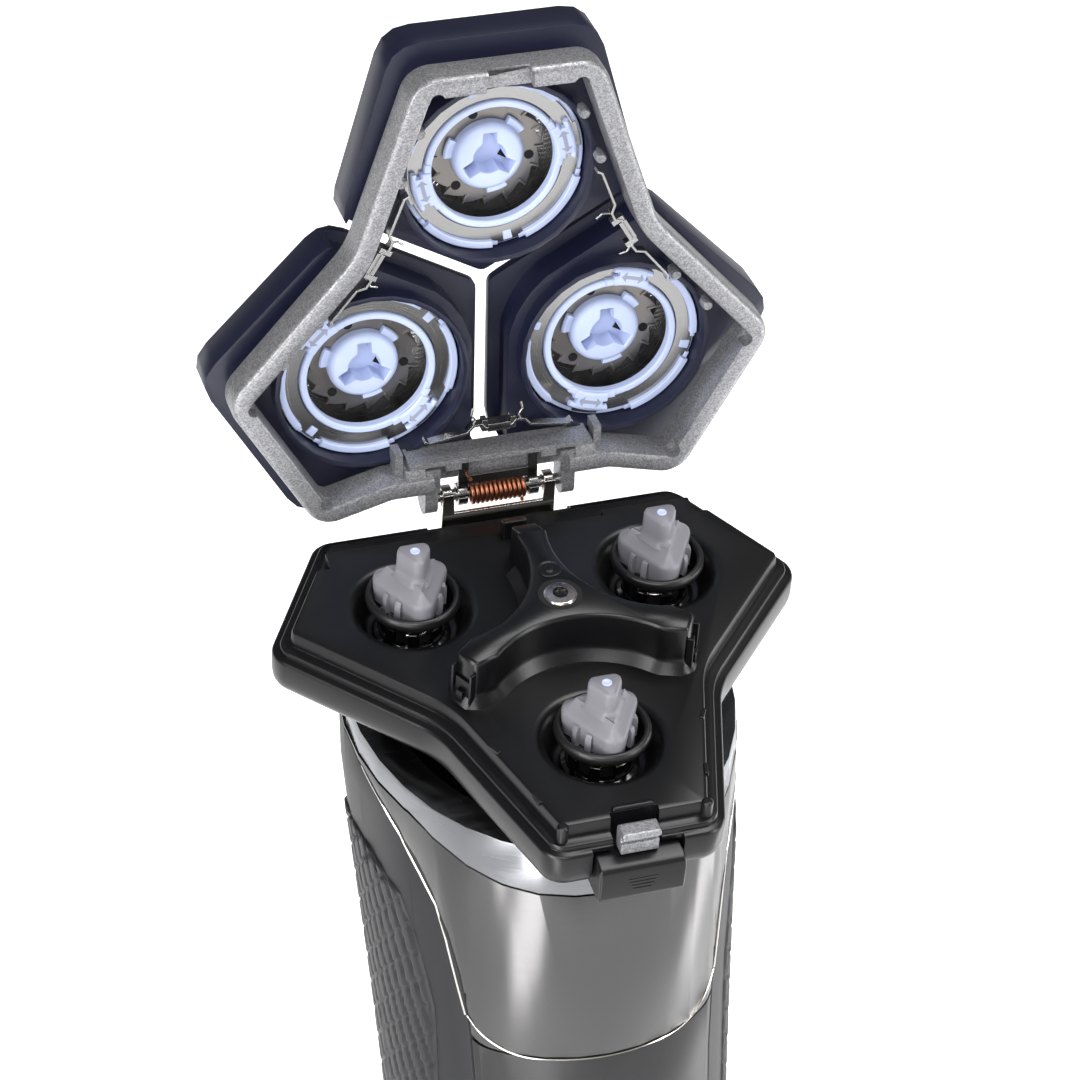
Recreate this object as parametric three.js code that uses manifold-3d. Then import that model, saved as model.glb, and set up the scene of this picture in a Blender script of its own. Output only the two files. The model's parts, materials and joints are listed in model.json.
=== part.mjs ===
// Rotary electric shaver with its hair chamber open, in millimetres, +Z up, front facing -Y.
// The handle stands on its flat base at the origin. The head leans forward on the handle and
// carries three spindles; the cover with the three shaving units hinges open at the back.
import * as THREE from 'three';
import { mergeVertices } from 'three/addons/utils/BufferGeometryUtils.js';
import Module from 'manifold-3d';

const wasm = await Module();
wasm.setup();

// ---- Driving dimensions -------------------------------------------------------------------
const gap = 0.3;                  // clearance between neighbouring pieces
const runFit = 0.15;              // radial clearance of a shaft in its hole

const handle = {
  frontReach: 22.3, baseFront: 20.5, baseHalf: 21, topHalf: 25.2, baseBack: 19, topBack: 33,
  topAxisShift: 9, swellStart: 55, swellEnd: 118, baseRound: 4,
  skin: 1.8, wall: 1.6, capHeight: 9, seamHeight: 92, seamHalf: 16.4, seamCorner: 7.4,
  rimFront: 123, collarFront: 6.4, collarBack: 3.0, collarShoulder: 1.5,
};
const head = { height: 138, tilt: 12.5, spindleCircle: 18.5 };
const tray = {
  endHalf: 10.86, endReach: 34.14, waistReach: 21.1, backEdge: 26.5, cornerRound: 3.5, waistRound: 12,
  depth: 5, ledge: 0.8, ledgeInset: 0.9, floor: 3, floorInset: 2.3,
  webTop: 9.8, webHalf: 1.75, webReach: 16.6, chamberRadius: 14.4,
  moatTop: 7.2, moatBottom: 5.6, moatFloor: -1.2,
};
const gears = { module: 1, centreTeeth: 15, thick: 1.8, top: -3.1, addendum: 0.75, dedendum: 1.0, post: 1.7 };
const screw = { head: 2.1, shank: 1.1 };
const neck = { plate: 1.7, radius: 9, length: 9, seatDepth: 4.2 };
const spindle = {
  sleeveRadius: 3.9, sleeveBore: 3.2, baseRadius: 4.5, baseLow: 3.3, baseHigh: 7.6,
  knobTip: 12.07, knobCorner: 2.5, collarRadius: 5.5, collarLow: 3.6, collarHigh: 5.8,
  travel: 1.2, springRadius: 2.9,
};
const sleeveTop = spindle.baseLow - spindle.travel - gap;
const hinge = { y: 27.1, z: 4.18, openAngle: 96.7, pinRadius: 0.75, pinHalf: 9, springHalf: 3.8 };
const frame = {
  endHalf: 11.72, endReach: 34.59, waistReach: 22.6, cornerRound: 3.5, waistRound: 10,
  low: 1.4, high: 6.2, rimWidth: 2.6, podBore: 13.3, hingeNotch: 24.9, lugRadius: 1.9,
};
const pod = {
  overhang: 1.8, low: 7.9, high: 14.6, slot: 1.7, skirtRadius: 12.6, skirtLow: 5.6,
  boreRadius: 9.5, seatRadius: 11.95, seatFloor: 9.9, webClear: 11.9,
};
const leaf = {
  low: tray.floor + gap, high: pod.skirtLow - 1, half: 0.25, centreHalf: 1.6, wing: 8, splay: 9,
  inset: 1.3, backShift: 1.6,
};
const guard = { radius: 9.2, top: 16.3, thick: 0.5, flangeRadius: 10.9, flange: 9.5 };
const ring = { seatOuter: 11.7, seatInner: 10.3, low: 7.7, lockOuter: 9.1, lockInner: 7.9 };
const cutter = {
  hubRadius: 4.6, hubFace: 10.5, hubTop: 13.3, starDepth: 1.95, starHalf: 0.95, hubBore: 2.1,
  room: 1.2, disc: 0.5, toothDepth: 1.3, bladeTop: 15.5, bladeHalf: 0.25, teeth: 10,
};
const discRadius = guard.radius - guard.thick - cutter.room;
const button = { height: 70, radius: 5.9, proud: 0.5, travel: 0.5 };
const deck = { dish: 3.4, thick: 2.2, cupWall: 1.4 };
const grip = { innerEdge: 8, backLine: 13, splitHeight: 100 };  // backLine: front pieces end here
const display = { height: 47, halfWidth: 5.5, halfHeight: 9, thick: 1.3 };
const socket = { y: 9.5, halfWidth: 4.5, halfDepth: 2.5, depth: 10.5, wall: 1 };
const motor = { radius: 9, length: 27, top: -22, shaftRadius: 1.5 };
const battery = { radius: 7, length: 50, low: 13, y: 3 };
const latch = {
  half: 2.4, slotHalf: 3, buttonHalf: 5.4, low: -6.6, high: -1.1, front: -36.4, back: -32, travel: 1,
  hookTop: 2.6, hookFront: -34.9, hookBack: -32.2,
};
const board = { thick: 1.4, halfWidth: 10, low: 14, high: 86, y: -11.5 };

// ---- Colours and finishes -----------------------------------------------------------------
const finish = (color, roughness, metalness) =>
  new THREE.MeshStandardMaterial({ color, roughness, metalness });
const finishes = {
  gunmetal: () => finish(0x5d5c5e, 0.3, 0.8),
  charcoal: () => finish(0x4a4a4c, 0.5, 0.3),
  rubber: () => finish(0x47484b, 0.85, 0),
  darkChrome: () => finish(0x8a8b8e, 0.2, 1),
  glossBlack: () => finish(0x0b0b0c, 0.12, 0),
  satinBlack: () => finish(0x1a1a1d, 0.45, 0),
  castSilver: () => finish(0x9a9a9c, 0.45, 0.7),
  navy: () => finish(0x1d2138, 0.5, 0),
  iceBlue: () => finish(0xb9c8ea, 0.45, 0),
  steel: () => finish(0xb5b0aa, 0.3, 1),
  copper: () => finish(0xa8694a, 0.35, 1),
  greyPlastic: () => finish(0x7b7a80, 0.5, 0),
  circuitGreen: () => finish(0x1f5a38, 0.6, 0),
  cellWrap: () => finish(0x2f5f8a, 0.5, 0),
};

// ---- Solids -------------------------------------------------------------------------------
const toSolid = (geometry) => {
  const bare = geometry.clone();
  bare.deleteAttribute('normal');
  bare.deleteAttribute('uv');
  const merged = mergeVertices(bare, 1e-4);
  return new wasm.Manifold(new wasm.Mesh({
    numProp: 3,
    vertProperties: new Float32Array(merged.attributes.position.array),
    triVerts: new Uint32Array(merged.index.array),
  }));
};

const facetTolerance = 0.012;     // flats closer than this are one flat
const toGeometry = (solid) => {
  const { vertProperties, triVerts } = solid.asOriginal().simplify(facetTolerance).getMesh();
  const geometry = new THREE.BufferGeometry();
  geometry.setAttribute('position', new THREE.BufferAttribute(new Float32Array(vertProperties), 3));
  geometry.setIndex(new THREE.BufferAttribute(new Uint32Array(triVerts), 1));
  geometry.computeVertexNormals();
  return geometry;
};

const join = (first, ...rest) => rest.reduce((sum, solid) => sum.add(solid), first);
const cut = (first, ...rest) => rest.reduce((left, solid) => left.subtract(solid), first);

const box = (x0, x1, y0, y1, z0, z1) =>
  toSolid(new THREE.BoxGeometry(x1 - x0, y1 - y0, z1 - z0)
    .translate((x0 + x1) / 2, (y0 + y1) / 2, (z0 + z1) / 2));

// Round pieces get enough flats for their size.
const flats = (radius) => (radius < 1.4 ? 10 : radius < 2.6 ? 14 : radius < 6 ? 18 : radius < 10 ? 24 : 28);

const cylinder = (radius, z0, z1, x = 0, y = 0, sides = flats(radius), topRadius = radius) =>
  toSolid(new THREE.CylinderGeometry(topRadius, radius, z1 - z0, sides)
    .rotateX(Math.PI / 2).translate(x, y, (z0 + z1) / 2));

const crossRod = (radius, x0, x1, y, z, sides = flats(radius)) =>
  toSolid(new THREE.CylinderGeometry(radius, radius, x1 - x0, sides)
    .rotateZ(Math.PI / 2).translate((x0 + x1) / 2, y, z));

const tube = (inner, outer, z0, z1, x = 0, y = 0, sides = flats(outer)) =>
  cut(cylinder(outer, z0, z1, x, y, sides), cylinder(inner, z0 - 1, z1 + 1, x, y, sides));

const prism = (shape, z0, z1, smoothness = 3) =>
  toSolid(new THREE.ExtrudeGeometry(shape, { depth: z1 - z0, bevelEnabled: false, curveSegments: smoothness })
    .translate(0, 0, z0));

// A shape drawn in side view (y, z), run across the object from x0 to x1.
const sidePrism = (shape, x0, x1, smoothness = 6) => {
  const basis = new THREE.Matrix4().makeBasis(
    new THREE.Vector3(0, 1, 0), new THREE.Vector3(0, 0, 1), new THREE.Vector3(1, 0, 0));
  const options = { depth: x1 - x0, bevelEnabled: false, curveSegments: smoothness };
  return toSolid(new THREE.ExtrudeGeometry(shape, options).applyMatrix4(basis).translate(x0, 0, 0));
};

// A shape drawn in front view (x, z), run from y0 back to y1.
const frontPrism = (shape, y0, y1, smoothness = 6) => {
  const basis = new THREE.Matrix4().makeBasis(
    new THREE.Vector3(1, 0, 0), new THREE.Vector3(0, 0, 1), new THREE.Vector3(0, -1, 0));
  const options = { depth: y1 - y0, bevelEnabled: false, curveSegments: smoothness };
  return toSolid(new THREE.ExtrudeGeometry(shape, options).applyMatrix4(basis).translate(0, y1, 0));
};

// Outlines are lists of corners [x, y, rounding], anticlockwise.
const grown = (corners, distance) => corners.map(([x, y, round], i) => {
  const [px, py] = corners.at(i - 1);
  const [nx, ny] = corners[(i + 1) % corners.length];
  const before = new THREE.Vector2(y - py, px - x).normalize();
  const after = new THREE.Vector2(ny - y, x - nx).normalize();
  const mitre = before.clone().add(after).multiplyScalar(distance / (1 + before.dot(after)));
  return [x + mitre.x, y + mitre.y, round];
});

const outline = (corners) => {
  const shape = new THREE.Shape();
  corners.forEach(([x, y, round], i) => {
    const here = new THREE.Vector2(x, y);
    const back = new THREE.Vector2(...corners.at(i - 1).slice(0, 2)).sub(here);
    const ahead = new THREE.Vector2(...corners[(i + 1) % corners.length].slice(0, 2)).sub(here);
    const half = back.angleTo(ahead) / 2;
    const reach = Math.min(round / Math.tan(half), 0.45 * back.length(), 0.45 * ahead.length());
    const start = here.clone().addScaledVector(back.normalize(), reach);
    const end = here.clone().addScaledVector(ahead.normalize(), reach);
    if (i === 0) shape.moveTo(start.x, start.y);
    else shape.lineTo(start.x, start.y);
    shape.quadraticCurveTo(x, y, end.x, end.y);
  });
  shape.closePath();
  return shape;
};

const rect = (x0, x1, y0, y1, round = 0.01) =>
  outline([[x0, y0, round], [x1, y0, round], [x1, y1, round], [x0, y1, round]]);

const rad = THREE.MathUtils.degToRad;
const turned = ([x, y, round], degrees) => {
  const c = Math.cos(rad(degrees)), s = Math.sin(rad(degrees));
  return [c * x - s * y, s * x + c * y, round];
};

// ---- The assembly -------------------------------------------------------------------------
const shaver = new THREE.Group();
const headGroup = new THREE.Group();
headGroup.position.z = head.height;
headGroup.rotation.x = rad(head.tilt);
const coverGroup = new THREE.Group();
coverGroup.position.set(0, hinge.y, hinge.z);
coverGroup.rotation.x = -rad(hinge.openAngle);
shaver.add(headGroup);
headGroup.add(coverGroup);

const addPiece = (group, name, solid, material) => {
  const mesh = new THREE.Mesh(toGeometry(solid), material());
  mesh.name = name;
  group.add(mesh);
  return mesh;
};
const addToHandle = (name, solid, material) => addPiece(shaver, name, solid, material);
const addToHead = (name, solid, material) => addPiece(headGroup, name, solid, material);
// Cover pieces are drawn closed, in the head's own axes, and swing open with the cover group.
const addToCover = (name, solid, material) => {
  addPiece(coverGroup, name, solid.translate([0, -hinge.y, -hinge.z]), material);
};

// A solid drawn in the head's axes, moved into the handle's.
const headMatrix = new THREE.Matrix4().makeRotationX(rad(head.tilt)).setPosition(0, 0, head.height);
const headToHandle = (solid) => toSolid(toGeometry(solid).applyMatrix4(headMatrix));

// ---- Handle -------------------------------------------------------------------------------
// The handle's section is an egg: half ellipses in front of and behind its widest line.
const swell = (z) => THREE.MathUtils.clamp(
  (z - handle.swellStart) / (handle.swellEnd - handle.swellStart), 0, 1) ** 1.2;
const rimHeight = (y) => handle.rimFront + Math.tan(rad(head.tilt)) * (y + handle.frontReach);

const skinPoint = (angle, z, inset) => {
  const widest = handle.topAxisShift * swell(z);
  const low = THREE.MathUtils.clamp(1 - z / 30, 0, 1) ** 2;
  const front = handle.frontReach - (handle.frontReach - handle.baseFront) * low + widest;
  const back = handle.baseBack + (handle.topBack - handle.baseBack) * swell(z) - widest;
  const rise = THREE.MathUtils.clamp(z / handle.swellEnd, 0, 1);
  const half = handle.baseHalf + (handle.topHalf - handle.baseHalf) * rise ** 2;
  const drop = Math.max(0, handle.baseRound - z);
  const round = handle.baseRound - Math.sqrt(handle.baseRound ** 2 - Math.min(drop, handle.baseRound) ** 2);
  const along = Math.cos(angle) > 0 ? front : back;
  return new THREE.Vector3(
    (half - inset - round) * Math.sin(angle), widest - (along - inset - round) * Math.cos(angle), z);
};

// A tube, or a plug where inner is null, that follows the handle's skin between two heights.
const handleLoft = (outer, inner, z0, z1, rows, around = 36, shift = () => 0) => {
  const profile = [];
  if (inner === null) profile.push(new THREE.Vector2(0, z0));
  for (let i = 0; i <= rows; i++) profile.push(new THREE.Vector2(2, z0 + (z1 - z0) * i / rows));
  if (inner === null) profile.push(new THREE.Vector2(0, z1));
  else for (let i = rows; i >= 0; i--) profile.push(new THREE.Vector2(1, z0 + (z1 - z0) * i / rows));
  if (inner !== null) profile.push(profile[0].clone());
  const geometry = new THREE.LatheGeometry(profile, around);
  const place = geometry.attributes.position;
  for (let i = 0; i < place.count; i++) {
    const x = place.getX(i), z = place.getY(i), y = place.getZ(i);
    const radius = Math.hypot(x, y);
    if (radius < 0.5) {
      place.setXYZ(i, 0, 0, z);
      continue;
    }
    const inset = radius > 1.5 ? outer : inner;
    const point = skinPoint(Math.atan2(x, y), z, inset + shift(z));
    place.setXYZ(i, point.x, point.y, z);
  }
  return toSolid(geometry);
};

const slopeCut = (drop, reach = 80) => {
  // Everything above a plane that runs parallel to the rim, drop below it.
  const shape = new THREE.Shape([[-reach, 0], [reach, 0], [reach, 1], [-reach, 1]].map(([y, top]) =>
    new THREE.Vector2(y, top ? 260 : rimHeight(y) - drop)));
  return sidePrism(shape, -reach, reach);
};

// Side view of the collar's lower edge: low at the front, then parallel to the rim.
const aboveCollarEdge = (shift) => {
  const straight = (y) => rimHeight(y) - handle.collarBack + shift;
  const front = -handle.frontReach;
  const shape = new THREE.Shape();
  shape.moveTo(front - 8, handle.rimFront - handle.collarFront + shift);
  shape.lineTo(front, handle.rimFront - handle.collarFront + shift);
  shape.bezierCurveTo(front + 5, handle.rimFront - handle.collarFront + 0.6 + shift,
    front + 9, straight(front + 9) - 1.5, front + 15, straight(front + 15));
  shape.lineTo(60, straight(60));
  shape.lineTo(60, 260);
  shape.lineTo(front - 8, 260);
  shape.closePath();
  return sidePrism(shape, -60, 60, 8);
};

const skinLow = handle.capHeight + gap;
// Side view of a rubber grip: its front edge sweeps up and back to a flat top under the collar.
const gripSide = (margin) => {
  const low = skinLow - margin - 0.01;
  const shape = new THREE.Shape();
  shape.moveTo(-13.2 - margin, low);
  shape.bezierCurveTo(-14.6 - margin, 40, -16.2 - margin, 78, -14.6 - margin, 95);
  shape.bezierCurveTo(-13 - margin, 110, -9.5 - margin, 118 + margin, -1.8, 122.2 + margin);
  shape.bezierCurveTo(4, 124.9 + margin, 8, 126.2 + margin, 12, 126.6 + margin);
  shape.bezierCurveTo(19 + margin, 127 + margin, 23.5 + margin, 121, 21.5 + margin, 108);
  shape.bezierCurveTo(17 + margin, 84, 12.2 + margin, 70, 11.2 + margin, low);
  shape.closePath();
  return shape;
};

// Front view of the upper panel: a wide U, square to the seam below it.
const upperFront = (margin) => {
  const { seamHeight: low, seamHalf: half, seamCorner: round } = handle;
  return outline([
    [-half + margin, low + margin, round], [half - margin, low + margin, round],
    [half - margin, low + round + margin, 0.01], [60, low + round + margin, 0.01],
    [60, 200, 0.01], [-60, 200, 0.01], [-60, low + round + margin, 0.01],
    [-half + margin, low + round + margin, 0.01],
  ]);
};

const skinShell = cut(handleLoft(0, handle.skin, skinLow, 145, 11), aboveCollarEdge(-gap));
const gripRight = sidePrism(gripSide(0), grip.innerEdge, 60);
const gripLeft = sidePrism(gripSide(0), -60, -grip.innerEdge);
const gripClear = join(
  sidePrism(gripSide(gap), grip.innerEdge, 60), sidePrism(gripSide(gap), -60, -grip.innerEdge));
const frontSide = join(
  box(-60, 60, -60, grip.backLine, grip.splitHeight, 200), box(-60, 60, -60, 0, 0, grip.splitHeight + 1));
const rearSide = join(
  box(-60, 60, grip.backLine + gap, 90, grip.splitHeight - 1, 200),
  box(-60, 60, 2, 90, 0, grip.splitHeight));
const buttonBore = (extra) => cylinder(button.radius + extra, 0, 40)
  .rotate([90, 0, 0]).translate([0, 0, button.height]);
const displayBore = (extra) => frontPrism(
  rect(-display.halfWidth - extra, display.halfWidth + extra,
    display.height - display.halfHeight - extra, display.height + display.halfHeight + extra,
    display.halfWidth), -60, -5);

const frontSkin = cut(skinShell.intersect(frontSide), gripClear);
const upperBlock = frontPrism(upperFront(0), -60, 60, 8);
const upperBlockClear = frontPrism(upperFront(-gap), -60, 60, 8);
addToHandle('front_panel_upper', frontSkin.intersect(upperBlock), finishes.gunmetal);
addToHandle('front_panel_lower',
  cut(frontSkin, upperBlockClear, buttonBore(gap), displayBore(gap)), finishes.charcoal);
addToHandle('grip_left', skinShell.intersect(gripLeft), finishes.rubber);
addToHandle('grip_right', skinShell.intersect(gripRight), finishes.rubber);
addToHandle('rear_cover', cut(skinShell.intersect(rearSide), gripClear), finishes.satinBlack);

const housingInset = handle.skin + 3 * gap;
const housing = cut(
  handleLoft(housingInset, housingInset + handle.wall, skinLow, 145, 7),
  aboveCollarEdge(-gap), buttonBore(gap));
addToHandle('inner_housing', housing, finishes.satinBlack);

const shoulder = (z) => handle.collarShoulder * THREE.MathUtils.smoothstep(z, 118, 140) ** 2;
const collar = cut(
  handleLoft(0, housingInset + handle.wall, 112, 145, 5, 36, shoulder).intersect(aboveCollarEdge(0)),
  slopeCut(0));
addToHandle('collar_ring', collar, finishes.darkChrome);

// The deck closes the top, parallel to the head, dished towards the neck seat.
const deckInset = housingInset + handle.wall + gap;
const rimInHead = new THREE.Vector3(0, -handle.frontReach, handle.rimFront)
  .applyMatrix4(headMatrix.clone().invert()).z;
const dishFloor = rimInHead - deck.dish;
const seatFloor = dishFloor - neck.seatDepth;
const dishProfile = [
  [0, dishFloor], [neck.radius + 2, dishFloor], [19, dishFloor + 1], [40, rimInHead - 0.6],
  [40, rimInHead + 30], [0, rimInHead + 30],
].map(([r, z]) => new THREE.Vector2(r, z));
const deckDish = headToHandle(toSolid(new THREE.LatheGeometry(dishProfile, 40).rotateX(Math.PI / 2)));
const deckUnder = headToHandle(box(-60, 60, -60, 60, rimInHead - 60, dishFloor - deck.thick));
const seatCup = headToHandle(
  cylinder(neck.radius + runFit + deck.cupWall, seatFloor - deck.cupWall, dishFloor - 0.6));
const shaftBore = headToHandle(cylinder(motor.shaftRadius + 1, rimInHead - 40, rimInHead));
const seatHole = headToHandle(cylinder(neck.radius + runFit, seatFloor, rimInHead + 5));
addToHandle('top_deck', cut(
  join(cut(handleLoft(deckInset, null, 112, 144, 3, 36, shoulder), deckUnder), seatCup),
  deckDish, seatHole, shaftBore, slopeCut(0)), finishes.glossBlack);

const lens = cut(handleLoft(0.05, display.thick, 30, 70, 2), buttonBore(2)).intersect(displayBore(0));
addToHandle('display_window', lens, finishes.glossBlack);

const socketMouth = (extra, z0, z1) => prism(
  rect(-socket.halfWidth - extra, socket.halfWidth + extra,
    socket.y - socket.halfDepth - extra, socket.y + socket.halfDepth + extra, socket.halfDepth + extra),
  z0, z1);
addToHandle('bottom_cap', cut(
  handleLoft(0, null, 0, handle.capHeight, 5, 32),
  handleLoft(handle.skin + handle.wall, null, 3, handle.capHeight + 1, 1, 24),
  socketMouth(socket.wall + gap, -1, 20)), finishes.satinBlack);
const contact = (side) => cylinder(0.8, socket.depth - 5.5, socket.depth + 1, side * 2, socket.y, 12);
addToHandle('charging_socket', join(
  cut(socketMouth(socket.wall, 0.4, socket.depth + 1.4), socketMouth(0, 0, socket.depth)),
  contact(-1), contact(1)), finishes.glossBlack);

// ---- Inside the handle --------------------------------------------------------------------
addToHandle('battery_cell', join(
  cylinder(battery.radius, battery.low, battery.low + battery.length, 0, battery.y, 28),
  cylinder(2.4, battery.low + battery.length - 0.5, battery.low + battery.length + 1.2, 0, battery.y, 16)),
  finishes.cellWrap);
addToHandle('circuit_board', join(
  box(-board.halfWidth, board.halfWidth, board.y, board.y + board.thick, board.low, board.high),
  box(-3, 3, board.y - 2, board.y + 0.5, button.height - 3, button.height + 3),
  box(-4.5, 4.5, board.y - 1.5, board.y + 0.5, display.height - 7, display.height + 7)),
  finishes.circuitGreen);
const motorSolid = join(
  cylinder(motor.radius, motor.top - motor.length, motor.top),
  cylinder(3, motor.top - 0.5, motor.top + 1.5));
addToHead('motor', cut(motorSolid, cylinder(motor.shaftRadius + runFit, motor.top - 6, motor.top + 3)),
  finishes.steel);
const driveTop = -neck.length + 1;
addToHead('drive_shaft', join(
  cylinder(motor.shaftRadius, motor.top - 5.5, driveTop),
  box(-2.6, 2.6, -0.7, 0.7, driveTop - 3, driveTop)), finishes.steel);

addToHandle('power_button', cut(
  handleLoft(-button.proud, null, button.height - 9, button.height + 9, 2).intersect(buttonBore(0)),
  box(-60, 60, board.y - 2.6 - button.travel, 60, 0, 200)), finishes.darkChrome);

// ---- Head base ----------------------------------------------------------------------------
const turns = [0, 120, 240];      // front unit, rear right, rear left
const units = turns.map((angle, i) => {
  const [x, y] = turned([0, -head.spindleCircle, 0], angle);
  return { name: ['front', 'right', 'left'][i], angle, x, y };
});

const lobes = ({ endHalf, endReach, cornerRound, waistRound, waistReach }) => turns.flatMap((angle) => [
  turned([-endHalf, -endReach, cornerRound], angle), turned([endHalf, -endReach, cornerRound], angle),
  turned([0, -waistReach, waistRound], angle + 60)]);
// The tray's back waist is filled straight across for the hinge.
const trayCorners = lobes(tray).filter(([x, y]) => !(Math.abs(x) < 1 && y > 0));
const trayBlock = (inset, z0, z1) => prism(outline(grown(trayCorners, -inset)), z0, z1);

const centrePitch = gears.module * gears.centreTeeth / 2;
const spindlePitch = head.spindleCircle - centrePitch;
const spindleTeeth = Math.round(2 * spindlePitch / gears.module);
const pocketTop = gears.top + gap;

const armBox = (angle, reach) => {
  const arm = box(-tray.webHalf, tray.webHalf, 0, reach, tray.floor - 1, tray.webTop);
  return arm.rotate([0, 0, angle]);
};
const chambers = (radius, z0, z1) => join(...units.map(({ x, y }) => cylinder(radius, z0, z1, x, y)));
const backRamp = sidePrism(outline([
  [0, tray.floor - 1, 0.01], [tray.backEdge - tray.floorInset, tray.floor - 1, 0.01],
  [tray.backEdge - tray.floorInset, tray.floor, 0.01], [12, tray.webTop, 0.01], [0, tray.webTop, 0.01],
]), -tray.webHalf, tray.webHalf);
const web = cut(
  join(cylinder(9.2, tray.floor - 1, tray.webTop), armBox(120, tray.webReach),
    armBox(240, tray.webReach), backRamp),
  chambers(tray.chamberRadius, 0, 20));

const moats = join(...units.map(({ x, y }) =>
  cylinder(tray.moatBottom, tray.moatFloor, tray.floor + 0.01, x, y, 32, tray.moatTop)));
const spindleHoles = chambers(spindle.sleeveRadius + runFit, -6, 4);
const gearPockets = join(
  chambers(spindlePitch + gears.addendum + gap, -tray.depth - 1, pocketTop),
  cylinder(centrePitch + gears.addendum + gap, -tray.depth - 1, pocketTop));
const latchSlot = join(
  box(-latch.slotHalf, latch.slotHalf, -40, latch.hookBack + latch.travel + 2 * gap, -10, 20),
  box(-latch.buttonHalf - gap, latch.buttonHalf + gap, -40, latch.back + latch.travel + gap, -10, 20));
// The cover's hinge side and its back leaf spring swing down into these cuts when it closes.
const hingeSeat = join(
  box(-9.6, 9.6, frame.hingeNotch, 40, -2.4, 12),
  box(-12.4, 12.4, 20.1, 40, frame.low - gap, 12),
  box(-25, 25, frame.hingeNotch - frame.rimWidth - 4 * gap, 40, frame.low - gap, 12),
  ...[-1, 1].map((side) => box(side * 25.6 - 1.4, side * 25.6 + 1.4, 18.2, 40, frame.low - gap, 12)));
const leafReach = frame.waistReach - frame.rimWidth - leaf.inset;
const leafNotch = box(-tray.webHalf - gap, tray.webHalf + gap,
  leafReach - leaf.backShift - 3 * gap, leafReach - leaf.backShift + 4 * gap, tray.floor, 12);
addToHead('head_tray', cut(
  join(trayBlock(0, -tray.depth, 0), trayBlock(tray.ledgeInset, -1, tray.ledge),
    trayBlock(tray.floorInset, -1, tray.floor), web),
  moats, spindleHoles, gearPockets, latchSlot, hingeSeat, leafNotch,
  cylinder(screw.shank + 0.2, 3.4, 12), cylinder(screw.head + gap, tray.webTop - 1.6, 12)),
  finishes.satinBlack);

const plateTop = -tray.depth - gap;
const plateLow = plateTop - neck.plate;
const gearPost = ({ x, y }) => cylinder(gears.post, plateTop - 0.5, gears.top - 0.2, x, y);
addToHead('neck_coupler', cut(
  join(trayBlock(2.6, plateLow, plateTop), cylinder(neck.radius, plateLow - neck.length, plateTop),
    ...units.map(gearPost)),
  cylinder(3.6, plateLow - neck.length - 1, plateTop + 1),
  box(-latch.buttonHalf - gap, latch.buttonHalf + gap, -40, latch.back + latch.travel + gap, -12, 0)),
  finishes.satinBlack);

addToHead('center_screw', cut(
  join(cylinder(screw.head, tray.webTop - 1.4, tray.webTop - 0.2),
    cylinder(screw.shank, 3.6, tray.webTop - 1.3)),
  box(-1.2, 1.2, -0.3, 0.3, tray.webTop - 0.8, 12), box(-0.3, 0.3, -1.2, 1.2, tray.webTop - 0.8, 12)),
  finishes.steel);

// ---- Gears and spindles -------------------------------------------------------------------
// Straight-flanked teeth with generous backlash; one tooth points along +X.
const gearShape = (teeth) => {
  const pitch = gears.module * teeth / 2;
  const step = 2 * Math.PI / teeth;
  const shape = new THREE.Shape();
  for (let i = 0; i < teeth; i++) {
    [[-0.26, -gears.dedendum], [0, gears.addendum], [0.26, -gears.dedendum]]
      .forEach(([share, height], j) => {
        const angle = (i + share) * step;
        const x = (pitch + height) * Math.cos(angle), y = (pitch + height) * Math.sin(angle);
        if (i === 0 && j === 0) shape.moveTo(x, y);
        else shape.lineTo(x, y);
      });
  }
  shape.closePath();
  return shape;
};
const gearLow = gears.top - gears.thick;

// A tooth of the centre gear points at each spindle, where the spindle gear has a gap.
const centreGear = prism(gearShape(gears.centreTeeth), gearLow, gears.top).rotate([0, 0, -90]);
const coupling = driveTop + 0.4;
addToHead('center_gear', cut(
  join(centreGear, cylinder(3.4, coupling - 3.6, gearLow + 0.1)),
  box(-2.85, 2.85, -0.95, 0.95, coupling - 4, coupling - 0.1),
  cylinder(motor.shaftRadius + gap, coupling - 4, coupling - 0.1)), finishes.greyPlastic);

const spindleGear = ({ x, y, angle }) => {
  const wheel = prism(gearShape(spindleTeeth), gearLow, gears.top)
    .rotate([0, 0, 90 + 180 / spindleTeeth + angle]).translate([x, y, 0]);
  const sleeve = tube(spindle.sleeveBore, spindle.sleeveRadius, gears.top - 0.1, sleeveTop, x, y);
  const notches = join(...[0, 60, 120].map((turn) =>
    box(-6, 6, -0.9, 0.9, sleeveTop - 1.6, sleeveTop + 1)
      .rotate([0, 0, turn + angle]).translate([x, y, 0])));
  return cut(join(wheel, cut(sleeve, notches)), cylinder(gears.post + runFit, -10, gears.top - 0.1, x, y));
};

const triangle = (reach, round) => outline(turns.map((angle) => turned([0, -reach, round], angle)));
const spindleCap = ({ x, y, angle }) => {
  const base = prism(triangle(spindle.baseRadius * 1.5, spindle.baseRadius * 0.62),
    spindle.baseLow, spindle.baseHigh).intersect(cylinder(spindle.baseRadius, 0, 20));
  const shoulderCone = cylinder(spindle.baseRadius * 0.86, spindle.baseHigh - 0.01, spindle.baseHigh + 1.2,
    0, 0, 24, spindle.knobCorner);
  const knob = prism(triangle(spindle.knobCorner * 1.35, 1.0), spindle.baseHigh, spindle.knobTip);
  const stem = cylinder(1.6, gears.top + spindle.travel + gap, spindle.baseLow + 0.1);
  const notches = join(...turns.map((turn) =>
    box(-0.7, 0.7, -6, -spindle.baseRadius * 0.62, 0, spindle.baseLow + 1.5).rotate([0, 0, turn + 60])));
  return cut(join(base, shoulderCone, knob, stem), notches).rotate([0, 0, angle]).translate([x, y, 0]);
};
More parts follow.
